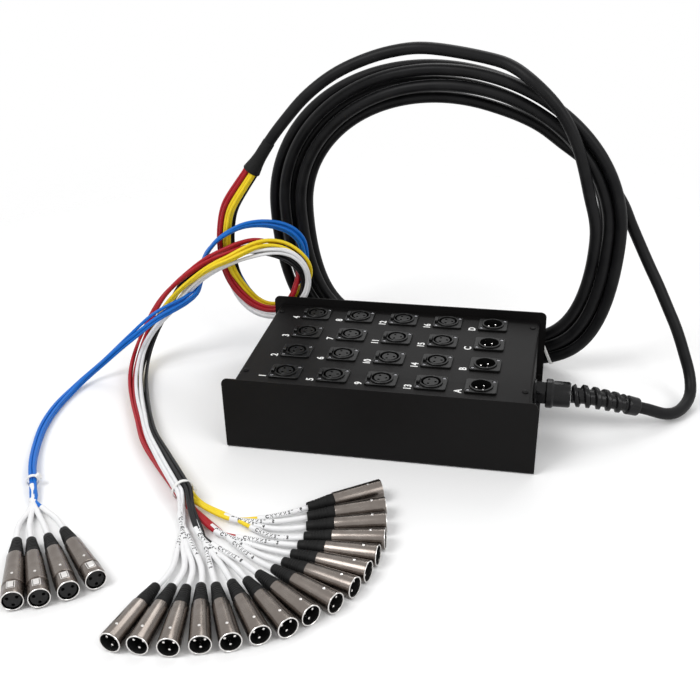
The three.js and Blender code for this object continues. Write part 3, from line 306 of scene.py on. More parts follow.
CABLE_DIAMETER, CABLE_STEP = 0.012, 0.006
GAP, STRAIGHT_RUN = 0.0003, 0.012
RELIEF_ROUTE = [
    (0.1826, -0.008, 0.039), (0.192, -0.008, 0.039), (0.206, -0.007, 0.0372), (0.221, -0.004, 0.0335),
    (0.236, 0, 0.0288), (0.249, 0.0046, 0.024)]
EXIT_ROUTE = [
    (0.278, 0.0185, 0.0105), (0.29, 0.029, 0.0072), (0.3, 0.044, 0.0085), (0.3055, 0.059, 0.014),
    (0.3045, 0.072, 0.027), (0.2965, 0.083, 0.0495), (0.2873, 0.092, 0.0715), (0.2765, 0.101, 0.092),
    (0.2655, 0.1095, 0.1125), (0.2548, 0.1165, 0.131), (0.2432, 0.1222, 0.1525), (0.2325, 0.1245, 0.1735),
    (0.2225, 0.1247, 0.1945)]
LEAD_ROUTE = [
    (0.018, 0.1045, 0.3545), (-0.014, 0.106, 0.351), (-0.047, 0.1065, 0.341), (-0.078, 0.106, 0.326),
    (-0.107, 0.104, 0.304), (-0.13, 0.102, 0.279), (-0.146, 0.1, 0.259), (-0.16, 0.098, 0.238)]
COIL_PITCH, COIL_LAYER_PITCH = 0.0125, 0.0134
COIL_MIDDLE = (0.0392, 0.1342)
COIL_HALF = (0.1893, 0.1662)
COIL_YAW, COIL_LEAN = math.radians(-6), math.radians(3)
COIL_FLAT_SHARE = 0.5
# Degrees along the winding: where it comes in, has its innermost turn, is outermost and turns back, leaves
# the other turns, is laid over them, and ends
COIL_ENTRY, COIL_INNER, COIL_REVERSE, COIL_LEAVE, COIL_LAYING, COIL_LAST = -4, 45, 930, 1815, 1860, 1875
COIL_MET, COIL_LOWEST, COIL_CLIMB, COIL_CROSSING = 16, 990, 30, 180
COIL_POINTS = 372
COIL_ENTRY_SLOT, COIL_EXIT_SLOT = -1.5, -1.0
COIL_BACK_SHIFT, COIL_BACK_RISE = 0.45, 0.4
COIL_TURNS, COIL_BULGE, COIL_SPREAD_SHARE = 5, 0.0134, 0.54
COIL_INNERMOST = (COIL_REVERSE - COIL_INNER) / 360


def smooth(share):
    share = min(1.0, max(0.0, share))
    return share * share * (3 - 2 * share)


def coil_slot(angle):
    """How many turns in from the outermost one the cable lies: it winds out, and then in again."""
    if angle < COIL_INNER:
        left = (COIL_INNER - angle) / (COIL_INNER - COIL_ENTRY)
        return COIL_INNERMOST - (COIL_INNERMOST - COIL_ENTRY_SLOT) * left ** 1.6
    if angle < COIL_REVERSE:
        return COIL_INNERMOST - (angle - COIL_INNER) / 360
    if angle < COIL_LEAVE:
        return (angle - COIL_REVERSE) / 360
    crossed = smooth((angle - COIL_LEAVE) / (COIL_LAST - COIL_LEAVE))
    return COIL_INNERMOST - (COIL_INNERMOST - COIL_EXIT_SLOT) * crossed


def coil_layer(angle):
    """How many cable widths behind the coil's middle the cable lies."""
    return (1.5 - smooth((angle - COIL_INNER) / COIL_CLIMB)
            - smooth((angle - COIL_REVERSE) / COIL_CROSSING + 0.5)
            - smooth((angle - COIL_LEAVE) / COIL_CLIMB + 1)
            + smooth((angle - COIL_LAYING) / (COIL_LAST - COIL_LAYING)))


def coil_point(angle):
    """The cable's middle at an angle: its turns bulge and spread at the left, and lie flat on the floor."""
    turn = math.radians(angle)
    c, s = math.cos(turn), math.sin(turn)
    loose = (1 - c) / 2 if 0 <= angle <= COIL_TURNS * 360 else 0.0
    back = min(1.0, max(0.0, coil_layer(angle) + 0.5)) * (1 - loose) * (s + COIL_BACK_RISE)
    inward = (coil_slot(angle) + COIL_BACK_SHIFT * back) * COIL_PITCH
    loosened = inward * (1 + COIL_SPREAD_SHARE * loose) - COIL_BULGE * loose
    power = 1 - COIL_FLAT_SHARE * math.sqrt(max(0.0, -s))
    across = (COIL_HALF[0] - loosened) * math.copysign(abs(c) ** power, c)
    lowest = COIL_HALF[1] - coil_slot(COIL_LOWEST) * COIL_PITCH
    z = (COIL_HALF[1] - (loosened if s > 0 else inward)) * math.copysign(abs(s) ** power, s)
    z += lowest + CABLE_DIAMETER / 2 + GAP
    behind = coil_layer(angle) * COIL_LAYER_PITCH
    return np.array([COIL_MIDDLE[0] + across * math.cos(COIL_YAW) - behind * math.sin(COIL_YAW),
                     COIL_MIDDLE[1] + across * math.sin(COIL_YAW) + behind * math.cos(COIL_YAW)
                     - z * math.tan(COIL_LEAN), z])


relief_tip, relief_way = np.array(RELIEF_ROUTE[-1]), last_way(RELIEF_ROUTE)
cable_line = smooth_line([relief_tip + relief_way * GAP, relief_tip + relief_way * STRAIGHT_RUN] + EXIT_ROUTE
                         + [coil_point(a) for a in np.linspace(COIL_MET, COIL_LAST, COIL_POINTS)] + LEAD_ROUTE,
                         CABLE_STEP)

jacket = Finish("cable_jacket", Base_Color=(0.005, 0.005, 0.0055, 1), Roughness=0.42, Specular_IOR_Level=0.15)
blotch = jacket.noise(38, 4)
grain = jacket.noise(900, 2)
jacket.feed("Base Color", jacket.mix(blotch.above(0.52, 0.12), (0.0035, 0.0035, 0.004, 1),
                                     (0.007, 0.007, 0.0075, 1)))
jacket.feed("Roughness", 0.34 + blotch * 0.12 + grain * 0.06)
jacket.bump(blotch * 0.7 + grain * 0.3, 0.0004, 0.5)
cable = round_cord("multicore_cable", cable_line, CABLE_DIAMETER, jacket,
                   ["multicore_exit", "multicore_coil", "multicore_lead"], 20)


# Gland and strain relief
# A moulded gland screwed through the end wall, and a tapered flexing sleeve with a helical rib, which
# lets the cable leave in a wide bend. Both are glossy black nylon.
GLAND_MIDDLE = (0.1455, -0.008, 0.039)
GLAND_HEX_HALF, GLAND_HEX_POINTS = 0.0109, 96
nylon = Finish("gland_nylon", Base_Color=(0.005, 0.005, 0.0055, 1), Roughness=0.24, Specular_IOR_Level=0.24)
nylon.uneven(260, 3, 0.17, 0.14, ((0.0035, 0.0035, 0.004, 1), (0.008, 0.008, 0.0085, 1)), (0.0001, 0.35))
gland = Shape()
gland.turn([(-0.0145, 0), (-0.0145, 0.0100), (0.0003, 0.0100), (0.0003, 0.0130), (0.0008, 0.0135),
            (0.0022, 0.0135), (0.0027, 0.0130), (0.0027, 0.0)])
gland.turn([(0.0121, 0), (0.0121, 0.0136), (0.0133, 0.01475), (0.0180, 0.01475), (0.0192, 0.0140),
            (0.0202, 0.01305), (0.0344, 0.0130), (0.0358, 0.0126), (0.0366, 0.0118), (0.0366, 0)])
hex_radius = GLAND_HEX_HALF / np.cos((turns_of(GLAND_HEX_POINTS) + math.pi / 6) % (math.pi / 3) - math.pi / 6)
gland.skin([circle(np.minimum(hex_radius, limit), along, GLAND_HEX_POINTS) for along, limit in (
    (0.0027, 0.0118), (0.0033, 0.0123), (0.0115, 0.0123), (0.0121, 0.0118))], caps=(True, True))
put("gland", gland.mesh("gland", [nylon], 22), Matrix.Translation(GLAND_MIDDLE),
    replaced=["gland_body"])

RELIEF_RIBS, RELIEF_COLLAR, RELIEF_EDGE, RELIEF_POINTS = 5, 0.013, 0.0012, 56
RELIEF_OUTER, RELIEF_CORE = (0.0120, 0.00925), (0.0080, 0.0070)
RIB_WIDTH_SHARE, RIB_FLANK_SHARE, RIB_ROUNDNESS = 0.56, 0.14, 0.8
relief_line = smooth_line(RELIEF_ROUTE, 0.0006)
relief_along = lengths_along(relief_line)
relief_length = relief_along[-1]
ribbed_length = relief_length - RELIEF_COLLAR
rib_pitch = ribbed_length / (RELIEF_RIBS + 0.5)
relief_loops = []
for centre, up, side, s in zip(relief_line, *carried_frames(relief_line), relief_along):
    outer, core = (np.interp(s, (0, relief_length), radii) for radii in (RELIEF_OUTER, RELIEF_CORE))
    if s > ribbed_length:
        edge = min(1.0, min(s - ribbed_length, relief_length - s) / RELIEF_EDGE)
        radius = outer - RELIEF_EDGE * (1 - edge) ** 2
    else:
        phase = (s / rib_pitch - turns_of(RELIEF_POINTS) / (2 * math.pi)) % 1
        rise = np.clip(np.minimum(phase, RIB_WIDTH_SHARE - phase) / RIB_FLANK_SHARE, 0, 1)
        rise = np.sin(rise * math.pi / 2) ** RIB_ROUNDNESS
        ends = np.clip(min(s, ribbed_length - s) / (rib_pitch / 2) + 0.2, 0, 1)
        radius = core + (outer - core) * rise * ends
    relief_loops.append(ring(centre, up, side, radius, RELIEF_POINTS))
put("strain_relief_sleeve", Shape().skin(relief_loops, caps=(True, True)).mesh("relief", [nylon], 50),
    replaced=["strain_relief"])


def finished(name, finish):
    """A piece that stays as it was built, in a finish."""
    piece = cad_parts[name]
    piece.data.materials.clear()
    piece.data.materials.append(finish.material)
    return piece


plated_brass = Finish("locknut_brass", Base_Color=(0.55, 0.55, 0.57, 1), Metallic=1.0, Roughness=0.35)
finished("gland_locknut", plated_brass.uneven(500, 3, 0.28, 0.2))


# Breakout sleeve
# A moulded rubber boot shrunk over the end of the cable, where the twenty tails come out of the jacket.
SLEEVE_LENGTH = 0.016
lead_way = last_way(LEAD_ROUTE)
sleeve_start = LEAD_ROUTE[-1] + lead_way * GAP
sleeve_end = sleeve_start + lead_way * SLEEVE_LENGTH
rubber = Finish("black_rubber", Base_Color=(0.006, 0.006, 0.006, 1), Roughness=0.55, Specular_IOR_Level=0.15)
rubber.uneven(420, 3, 0.45, 0.2, ((0.004, 0.004, 0.004, 1), (0.010, 0.010, 0.010, 1)), (0.0002, 0.4))
boot_profile = [
    (-0.022, 0.00615), (-0.0215, 0.0066), (-0.004, 0.0069), (0.004, 0.0077), (0.010, 0.0088), (0.0150, 0.0097),
    (SLEEVE_LENGTH - 0.0003, 0.0097), (SLEEVE_LENGTH, 0.0095), (SLEEVE_LENGTH - 0.0006, 0.0088),
    (SLEEVE_LENGTH - 0.004, 0.0084)]


def axes_at(place, x, y, z):
    """A place with three axes of its own."""
    return Matrix.Translation(Vector(place)) @ Matrix((Vector(x), Vector(y), Vector(z))).transposed().to_4x4()


sleeve_side = unit(np.cross((0, 0, 1), lead_way))
breakout = put("breakout_boot", Shape().turn(boot_profile).mesh("breakout_boot", [rubber]),
               axes_at(sleeve_start, lead_way, sleeve_side, np.cross(lead_way, sleeve_side)),
               replaced=["breakout_sleeve"])


def declared_length(line):
    return round(float(lengths_along(line)[-1]), 3)


tuple(relief_tip)
declared_length(cable_line)


# Tails
# Twenty thin screened cables, four of each colour: the sends in white, black, red and yellow run together
# to their tie, and the blue returns go their own way. Each ends in a white sleeve, printed on the sends, and its
# plug.
TAIL_DIAMETER, SLEEVE_DIAMETER, TAIL_STEP, BUNDLE_STEP = 0.0037, 0.0052, 0.004, 0.003
TAIL_FLOOR_GAP, TAIL_SWAY, END_SPREAD = 0.0002, 0.0016, 0.0018
SEND_SHIFT, RETURN_SHIFT = -0.003, 0.0104
# How far a group lies from the bundle's middle, and a tail from its group's: along the way, and in the mouth
# of the breakout sleeve
GROUP_SPREAD, TAIL_SPREAD = 0.00575, 0.0026
MOUTH_SEND_SPREAD, MOUTH_RETURN_SPREAD, MOUTH_TAIL_SPREAD = 0.0052, 0.0058, 0.0021
MOUTH_RUN, FREE_RUN = 0.03, 0.035
SEND_ROUTE = [
    (-0.187, 0.095, 0.1985), (-0.198, 0.099, 0.181), (-0.205, 0.101, 0.156), (-0.207, 0.102, 0.13),
    (-0.204, 0.103, 0.104), (-0.195, 0.105, 0.08), (-0.181, 0.108, 0.061), (-0.162, 0.11, 0.053),
    (-0.142, 0.111, 0.059), (-0.128, 0.111, 0.074), (-0.12, 0.111, 0.094), (-0.122, 0.108, 0.113),
    (-0.133, 0.104, 0.127), (-0.15, 0.098, 0.136), (-0.172, 0.09, 0.138), (-0.196, 0.082, 0.131),
    (-0.222, 0.079, 0.118), (-0.247, 0.075, 0.099), (-0.269, 0.071, 0.076), (-0.287, 0.064, 0.05),
    (-0.297, 0.052, 0.028), (-0.298, 0.034, 0.0145), (-0.289, 0.004, 0.0102), (-0.272, -0.034, 0.0098),
    (-0.252, -0.072, 0.0098), (-0.23, -0.11, 0.0098), (-0.204, -0.143, 0.01), (-0.178, -0.175, 0.0114),
    (-0.158, -0.2, 0.0118)]
RETURN_ROUTE = [
    (-0.1925, 0.1105, 0.19), (-0.204, 0.115, 0.16), (-0.207, 0.116, 0.13), (-0.204, 0.117, 0.101),
    (-0.194, 0.12, 0.075), (-0.179, 0.123, 0.057), (-0.159, 0.125, 0.049), (-0.14, 0.126, 0.054),
    (-0.129, 0.127, 0.071), (-0.124, 0.127, 0.094), (-0.122, 0.126, 0.118), (-0.125, 0.122, 0.138),
    (-0.137, 0.115, 0.153), (-0.158, 0.104, 0.162), (-0.182, 0.094, 0.162), (-0.204, 0.086, 0.152),
    (-0.218, 0.089, 0.139), (-0.229, 0.092, 0.124), (-0.235, 0.091, 0.107), (-0.24, 0.08, 0.087),
    (-0.25, 0.064, 0.08), (-0.262, 0.05, 0.076), (-0.278, 0.04, 0.067), (-0.296, 0.032, 0.052),
    (-0.315, 0.026, 0.036), (-0.334, 0.016, 0.02), (-0.348, 0, 0.01), (-0.355, -0.025, 0.0054),
    (-0.357, -0.06, 0.0044), (-0.352, -0.1, 0.0044), (-0.342, -0.135, 0.0044), (-0.328, -0.17, 0.006),
    (-0.314, -0.196, 0.0067)]
# Each group's lie in the bundle: the share of its length, the angle round its middle and how far out it is
GROUP_LAYS = {
    "white": [(0, 205, 1), (0.13, 205, 1), (0.25, 90, 1), (0.36, 90, 1), (0.46, -30, 1), (0.52, -30, 1),
              (0.66, 75, 1), (0.80, 90, 1), (1, 150, 1)],
    "black": [(0, 295, 1), (0.13, 295, 1), (0.25, 180, 1), (0.27, 165, 1), (0.36, 180, -1), (0.46, 60, -1),
              (0.52, 60, -1), (0.66, 165, -1), (0.80, 180, -1), (1, 240, -1)],
    "red": [(0, 115, 1), (0.13, 115, 1), (0.25, 0, 1), (0.27, -15, 1), (0.36, -90, 1), (0.46, -210, 1),
            (0.66, -195, 1), (0.80, -180, 1), (1, -120, 1)],
    "yellow": [(0, 25, 1), (0.13, 25, 1), (0.25, -90, 1), (0.27, -105, 1), (0.36, -180, 1), (0.46, -300, 1),
               (0.50, -300, 1), (0.63, -285, -1), (0.80, -270, -1), (1, -210, -1)],
    "blue": [(0, 250, 0), (1, 250, 0)],
}
CROSSINGS = [(0.27, 0.36), (0.50, 0.63)]
GROUP_ENDS = {
    "white": [(-0.1575, -0.214, 0.0065), (-0.152, -0.228, 0.0042)],
    "black": [(-0.146, -0.219, 0.0135), (-0.128, -0.246, 0.0068)],
    "red": [(-0.1475, -0.212, 0.0055), (-0.116, -0.237, 0.0046)],
    "yellow": [(-0.1430, -0.2045, 0.0072), (-0.110, -0.219, 0.0062)],
    "blue": [(-0.307, -0.209, 0.0066), (-0.3005, -0.221, 0.0048)],
}
TAIL_COLOURS = {
    "white": (0.80, 0.80, 0.81), "black": (0.008, 0.008, 0.009), "red": (0.38, 0.010, 0.018),
    "yellow": (0.86, 0.64, 0.02), "blue": (0.004, 0.14, 0.55),
}
BARE_LENGTHS = {"white": 0.016, "black": 0.036, "red": 0.050, "yellow": 0.056, "blue": 0.014}
SLEEVE_START, SLEEVE_STOP = 0.018, 0.014

# The plugs as they lie: the face's place on the floor, and the way the plug points, in degrees
MALE_PLUGS = [
    (-0.151, -0.388, -98), (-0.129, -0.387, -91), (-0.105, -0.385, -81), (-0.082, -0.378, -71),
    (-0.060, -0.371, -62), (-0.040, -0.360, -54), (-0.021, -0.3485, -46), (-0.007, -0.332, -38),
    (0.009, -0.315, -30), (0.020, -0.294, -20), (0.027, -0.273, -12), (0.031, -0.251, -4),
    (0.033, -0.228, 5), (0.030, -0.205, 12), (0.025, -0.183, 19), (0.016, -0.157, 30)]
FEMALE_PLUGS = {"A": (-0.247, -0.359, -64), "B": (-0.227, -0.352, -58), "C": (-0.2075, -0.3395, -52),
                "D": (-0.191, -0.323, -46)}
# Each kind of shell: the radius at its nose, its length, and the length of its straight collar
MALE_SHELL, FEMALE_SHELL = (0.0093, 0.046, 0.0), (0.0094, 0.060, 0.015)
REAR_RADIUS, BOOT_LENGTH, BOOT_GRIP = 0.0075, 0.025, 0.018


def plug_matrix(place, nose, length, collar):
    """A plug lying on its side: its tapered shell touches the floor from its collar to its rear."""
    tilt = math.atan2(nose - REAR_RADIUS, length - collar)
    height = nose * math.cos(tilt) + collar * math.sin(tilt) + 0.0001
    return (Matrix.Translation((place[0], place[1], height)) @ Matrix.Rotation(math.radians(place[2]), 4, "Z")
            @ Matrix.Rotation(-tilt, 4, "Y"))


def out_of_sleeve(shift):
    """The first stretch of a bundle, straight out of the breakout sleeve and to one side of its middle."""
    sideways = np.array([0.0, 1.0, 0.0])
    sideways = unit(sideways - lead_way * sideways.dot(lead_way))
    return [sleeve_end + lead_way * distance + sideways * shift for distance in (GAP, STRAIGHT_RUN)]


class Bundle:
    """The middle line of a bundle of tails, with two directions square to it at each point."""

    def __init__(self, route, shift):
        self.middle = smooth_line(out_of_sleeve(shift) + route, BUNDLE_STEP)
        self.ups, self.sides = carried_frames(self.middle)
        self.along = lengths_along(self.middle)


def tail_place(turn, out, own, own_out):
    """How far up and to the side a tail lies: its group from the bundle's middle, and it from its group's."""
    return (out * math.sin(turn) + own_out * math.sin(own), -out * math.cos(turn) - own_out * math.cos(own))


def group_place(lay, share):
    """Where a group lies in the bundle at a share of its length: an angle, and a share of the groups' spread."""
    opened = 1 + 0.35 * sum(math.sin(math.pi * (share - start) / (stop - start)) ** 2
                            for start, stop in CROSSINGS if start < share < stop)
    for (start, angle, out), (stop, next_angle, next_out) in zip(lay, lay[1:]):
        if share <= stop:
            part = (share - start) / (stop - start)
            out += (next_out - out) * smooth(part)
            if abs(out) > 0.99:
                out *= opened
            return math.radians(angle + (next_angle - angle) * smooth(part)), out


def tail_line(bundle, lay, number, ends, place, length):
    """One tail: in its place in the bundle, loose between the ties, then out to its plug."""
    own = math.radians(45 + 90 * (number % 4))
    lift, across = tail_place(math.radians(lay[0][1]), MOUTH_SEND_SPREAD if lay[0][2] else MOUTH_RETURN_SPREAD,
                              own, MOUTH_TAIL_SPREAD)
    mouth = sleeve_end + bundle.ups[0] * lift + bundle.sides[0] * across
    points = [mouth - lead_way * 0.004, mouth + lead_way * 0.002]
    total = bundle.along[-1]
    for i in range(0, len(bundle.middle), 5):
        s = bundle.along[i]
        if s < FREE_RUN:
            continue
        loose = math.sin(math.pi * (s - MOUTH_RUN) / (total - MOUTH_RUN)) ** 2
        turn, out = group_place(lay, s / total)
        lift, across = tail_place(turn, out * GROUP_SPREAD * (1 + 0.10 * loose), own, TAIL_SPREAD)
        lift += loose * TAIL_SWAY * math.sin(s * 34 + number * 2.3)
        across += loose * TAIL_SWAY * math.cos(s * 27 + number * 1.7)
        points.append(bundle.middle[i] + bundle.ups[i] * lift + bundle.sides[i] * across)
    boot_tip = np.array(place @ Vector((-length - BOOT_LENGTH + BOOT_GRIP, 0, 0)))
    before = np.array(place @ Vector((-length - 2 * BOOT_LENGTH, 0, 0)))
    rest = SLEEVE_DIAMETER / 2 + GAP
    before[2] = max(rest, (before[2] + rest) / 2)
    ends = [np.array(end) + END_SPREAD * np.array([math.cos(own), math.sin(own), 0.0]) for end in ends]
    half_way = (ends[-1] + before) / 2
    half_way[2] = rest + 0.0005
    line = smooth_line(points + ends + [half_way, before, boot_tip], TAIL_STEP)
    line[:, 2] = np.maximum(line[:, 2], TAIL_DIAMETER / 2 + TAIL_FLOOR_GAP)
    return line


def shade(colour, factor):
    return tuple(min(1.0, c * factor) for c in colour) + (1.0,)


tail_finishes = {}
for colour, base in TAIL_COLOURS.items():
    coat = Finish(f"{colour}_jacket", Base_Color=base + (1,), Roughness=0.36, Specular_IOR_Level=0.25)
    coat.uneven(70, 3, 0.28, 0.2, (shade(base, 0.86), shade(base, 1.08)))
    coat.bump(coat.noise(700, 2), 0.00008, 0.3)
    tail_finishes[colour] = coat
sleeving = Finish("printed_sleeve", Base_Color=(0.83, 0.83, 0.83, 1), Roughness=0.4, Specular_IOR_Level=0.4)
sleeving.uneven(110, 4, 0.3, 0.25, ((0.74, 0.74, 0.75, 1), (0.86, 0.86, 0.86, 1)), (0.00025, 0.4))
PRINT_DEPTH = 0.00004
WORD_SIZE, WORD_WEIGHT, WORD_SPACING, WORD_MIDDLE = 0.0042, 0.00020, 1.45, 0.024


def lettered(shape, words, size, weight, place, spacing=1.0):
    """Words drawn flat, then laid by a function of the distances along, across and out of them."""
    curve = bpy.data.curves.new("words", "FONT")
    curve.body, curve.size, curve.offset, curve.extrude = words, size, weight, PRINT_DEPTH
    curve.resolution_u = 5
    curve.align_x, curve.align_y, curve.space_character = "CENTER", "CENTER", spacing
    text = added("words", curve)
    bpy.context.view_layer.update()
    drawn = bpy.data.meshes.new_from_object(text.evaluated_get(bpy.context.evaluated_depsgraph_get()))
    base = len(shape.verts)
    shape.verts += [place(*v.co) for v in drawn.vertices]
    for face in drawn.polygons:
        shape.face(base + k for k in face.vertices)
    bpy.data.objects.remove(text)


def round_sleeve(line, middle):
    """A function that lays words along a sleeve's top, centred at a distance along its line."""
    along = lengths_along(line)
    ups, sides = carried_frames(line, (0.2, -0.5, 0.85))

    def place(u, v, w):
        point, up, side = (rows_at(middle + u, along, rows) for rows in (line, ups, sides))
        turn = v / (SLEEVE_DIAMETER / 2)
        reach = SLEEVE_DIAMETER / 2 + PRINT_DEPTH + w
        return tuple(point + reach * (math.cos(turn) * unit(up) + math.sin(turn) * side))
    return place


print_ink = Finish("sleeve_print", Base_Color=(0.02, 0.02, 0.022, 1), Roughness=0.5, Specular_IOR_Level=0.2)
print_ink.uneven(900, 2, 0.42, 0.2)
sends, returns = Bundle(SEND_ROUTE, SEND_SHIFT), Bundle(RETURN_ROUTE, RETURN_SHIFT)
tails = [(f"send_{i + 1:02d}", ("white", "black", "red", "yellow")[i // 4], sends, MALE_SHELL, spot)
         for i, spot in enumerate(MALE_PLUGS)]
tails += [(f"return_{letter}", "blue", returns, FEMALE_SHELL, spot) for letter, spot in FEMALE_PLUGS.items()]
tail_cords = {}
for number, (name, colour, bundle, shell, spot) in enumerate(tails):
    place = plug_matrix(spot, *shell)
    line = tail_line(bundle, GROUP_LAYS[colour], number, GROUP_ENDS[colour], place, shell[1])
    cord = round_cord(f"tail_{name}", line, TAIL_DIAMETER, tail_finishes[colour], [f"tails_{colour}"])
    along = lengths_along(line)
    start = int(np.searchsorted(along, bundle.along[-1] + SLEEVE_START + BARE_LENGTHS[colour]))
    stop = int(np.searchsorted(along, along[-1] - SLEEVE_STOP))
    over = [round_cord(f"sleeve_{name}", line[start:stop], SLEEVE_DIAMETER, sleeving)]
    if bundle is sends:
        words = Shape()
        lettered(words, f"CHANNEL {number + 1}", WORD_SIZE, WORD_WEIGHT,
                 round_sleeve(line, along[start] + WORD_MIDDLE), WORD_SPACING)
        over.append(put(f"print_{name}", words.mesh(f"print_{name}", [print_ink])))
    tail_cords[name] = (cord, line, over, place)


# Line plugs
# Sixteen male plugs end the sends and four female plugs end the returns. Each is a nickel-plated shell with
# a set screw, a black insert with its contacts, and a rubber boot that grips the tail.
def contacts(first):
    """Places of the three contacts round a connector's middle."""
    turns = [math.radians(first + 120 * i) for i in range(3)]
    return [(0.0046 * math.cos(t), 0.0046 * math.sin(t)) for t in turns]


def rim(centre, radius, count, axis="X"):
    """A small circle about a place; its axis is X, or Z when flat."""
    loop = circle(radius, 0.0, count)
    return (loop[:, [1, 2, 0]] if axis == "Z" else loop) + np.array(centre)


def rectangle(middle, half_length, half_width, z):
    """Four corners at one height, about a distance along X."""
    return np.array([(middle + sx * half_length, sy * half_width, z)
                     for sx, sy in ((-1, -1), (1, -1), (1, 1), (-1, 1))])


def upright(x, y, z):
    """A place where a turned body stands on its end."""
    return Matrix.Translation((x, y, z)) @ Matrix.Rotation(math.radians(-90), 4, "Y")


nickel = Finish("dark_nickel", Base_Color=(0.17, 0.15, 0.135, 1), Metallic=1.0, Roughness=0.24)
wear = nickel.noise(1, 4, nickel.place(60, 420, 420))
smear = nickel.noise(90, 3)
nickel.feed("Base Color", nickel.mix(smear, (0.15, 0.125, 0.11, 1), (0.26, 0.235, 0.215, 1)))
nickel.feed("Roughness", 0.16 + wear * 0.14 + smear * 0.06)
nickel.bump(wear, 0.00006, 0.25)
bright = Finish("bright_nickel", Base_Color=(0.80, 0.78, 0.76, 1), Metallic=1.0, Roughness=0.2)
bright.uneven(500, 2, 0.14, 0.16)
insert_plastic = Finish("insert_plastic", Base_Color=(0.008, 0.008, 0.008, 1), Roughness=0.5,
                        Specular_IOR_Level=0.3).uneven(600, 2, 0.42, 0.16)


def boot_shape(shape, length):
    """A soft ribbed boot at the rear of a shell, open for the tail."""
    profile = [(-length, 0.0), (-length, 0.0066), (-length - 0.0004, 0.0068), (-length - 0.004, 0.00655)]
    for i in range(5):
        at = length + 0.006 + i * 0.0026
        waist = 0.0064 - i * 0.00032
        profile += [(-at, waist), (-at - 0.0004, waist - 0.00035), (-at - 0.0012, waist - 0.0004),
                    (-at - 0.0016, waist - 0.00008)]
    profile += [(-length - 0.0205, 0.00475), (-length - 0.0245, 0.0043), (-length - BOOT_LENGTH, 0.0040),
                (-length - 0.0247, 0.0031), (-length - 0.012, 0.0030), (-length - 0.012, 0)]
    shape.turn(profile, 1, 32)


def shell_radius(distance, nose, length, collar):
    return nose + (REAR_RADIUS - nose) * max(0.0, distance - collar) / (length - collar)


def taper(shell, first):
    """The outline of a shell from a distance behind its face to its rounded rear edge."""
    length = shell[1]
    return ([(-d, shell_radius(d, *shell)) for d in (first, first + 0.012, first + 0.024, length - 0.0008)]
            + [(0.0002 - length, 0.00742), (-length, 0.0072), (-length, 0.0064)])


def set_screw(shape, distance, shell):
    """A small round screw let into the shell's top."""
    place = upright(-distance, 0, shell_radius(distance, *shell) - 0.0002)
    shape.turn([(-0.0012, 0.0), (-0.0012, 0.00125), (0.0001, 0.00125), (0.0003, 0.0011), (0.0003, 0.0)],
               1, 16, place)


SHELL_POINTS = 48
CONTACT_HOLE, CONTACT_HOLE_DEPTH = 0.0015, 0.007
WINDOW_MIDDLE, WINDOW_HALF_LENGTH, WINDOW_HALF_WIDTH, WINDOW_FRAME = -0.0095, 0.0039, 0.0029, 0.0006
WINDOW_LOW, WINDOW_HIGH = 0.0084, 0.0096
male_metal = Shape()
male_metal.turn([(-0.0139, 0.0081), (-0.0002, 0.0081), (0.0, 0.00835), (0.0, 0.0090), (-0.0004, 0.00925)],
                1, SHELL_POINTS)
male_metal.turn([(-0.0004, 0.00925), (-0.0009, 0.00926)] + taper(MALE_SHELL, 0.012), 0, SHELL_POINTS)
for y, z in contacts(270):
    male_metal.turn([(-0.0142, 0.0), (-0.0142, 0.0012), (-0.0038, 0.0012), (-0.0033, 0.00105),
                     (-0.003, 0.0006), (-0.003, 0.0)], 1, 16, Matrix.Translation((0, y, z)))
set_screw(male_metal, 0.0125, MALE_SHELL)
male_metal = male_metal.mesh("male_plug_metal", [nickel, bright])
male_black = Shape()
male_black.turn([(-0.0016, 0.0081), (-0.0012, 0.0078), (-0.0138, 0.0077), (-0.0138, 0.0)], 0, SHELL_POINTS)
boot_shape(male_black, MALE_SHELL[1])
male_black = male_black.mesh("male_plug_black", [insert_plastic, rubber])

female_metal = Shape()
female_metal.turn([(-0.011, 0.0083), (-0.0002, 0.0083), (0.0, 0.0085), (0.0, 0.0091), (-0.0004, 0.00935)],
                  1, SHELL_POINTS)
female_metal.turn([(-0.0004, 0.00935), (-0.0008, 0.0094), (-0.0145, 0.0094), (-0.0150, 0.0091),
                   (-0.0151, 0.0085), (-0.0174, 0.0085), (-0.0175, 0.0089), (-0.0178, 0.0093)]
                  + taper(FEMALE_SHELL, 0.022), 0, SHELL_POINTS)
set_screw(female_metal, 0.026, FEMALE_SHELL)
female_metal.skin([rectangle(WINDOW_MIDDLE, WINDOW_HALF_LENGTH + border, WINDOW_HALF_WIDTH + border, z)
                   for border, z in ((WINDOW_FRAME, WINDOW_LOW), (WINDOW_FRAME, WINDOW_HIGH),
                                     (0, WINDOW_HIGH), (0, WINDOW_LOW))], 1)
female_metal = female_metal.mesh("female_plug_metal", [nickel, bright])
female_black = Shape()
female_black.turn([(-0.011, 0.0083), (-0.011, 0.0071), (-0.0015, 0.0071), (-0.0012, 0.0068)], 0, SHELL_POINTS)
holes = [rim((-0.0012, y, z), CONTACT_HOLE, 20) for y, z in contacts(270)]
female_black.plate([circle(0.0068, -0.0012, SHELL_POINTS)] + holes)
for hole in holes:
    female_black.skin([hole, hole - np.array([CONTACT_HOLE_DEPTH, 0, 0])], 0, (False, True))
boot_shape(female_black, FEMALE_SHELL[1])
female_black = female_black.mesh("female_plug_black", [insert_plastic, rubber])

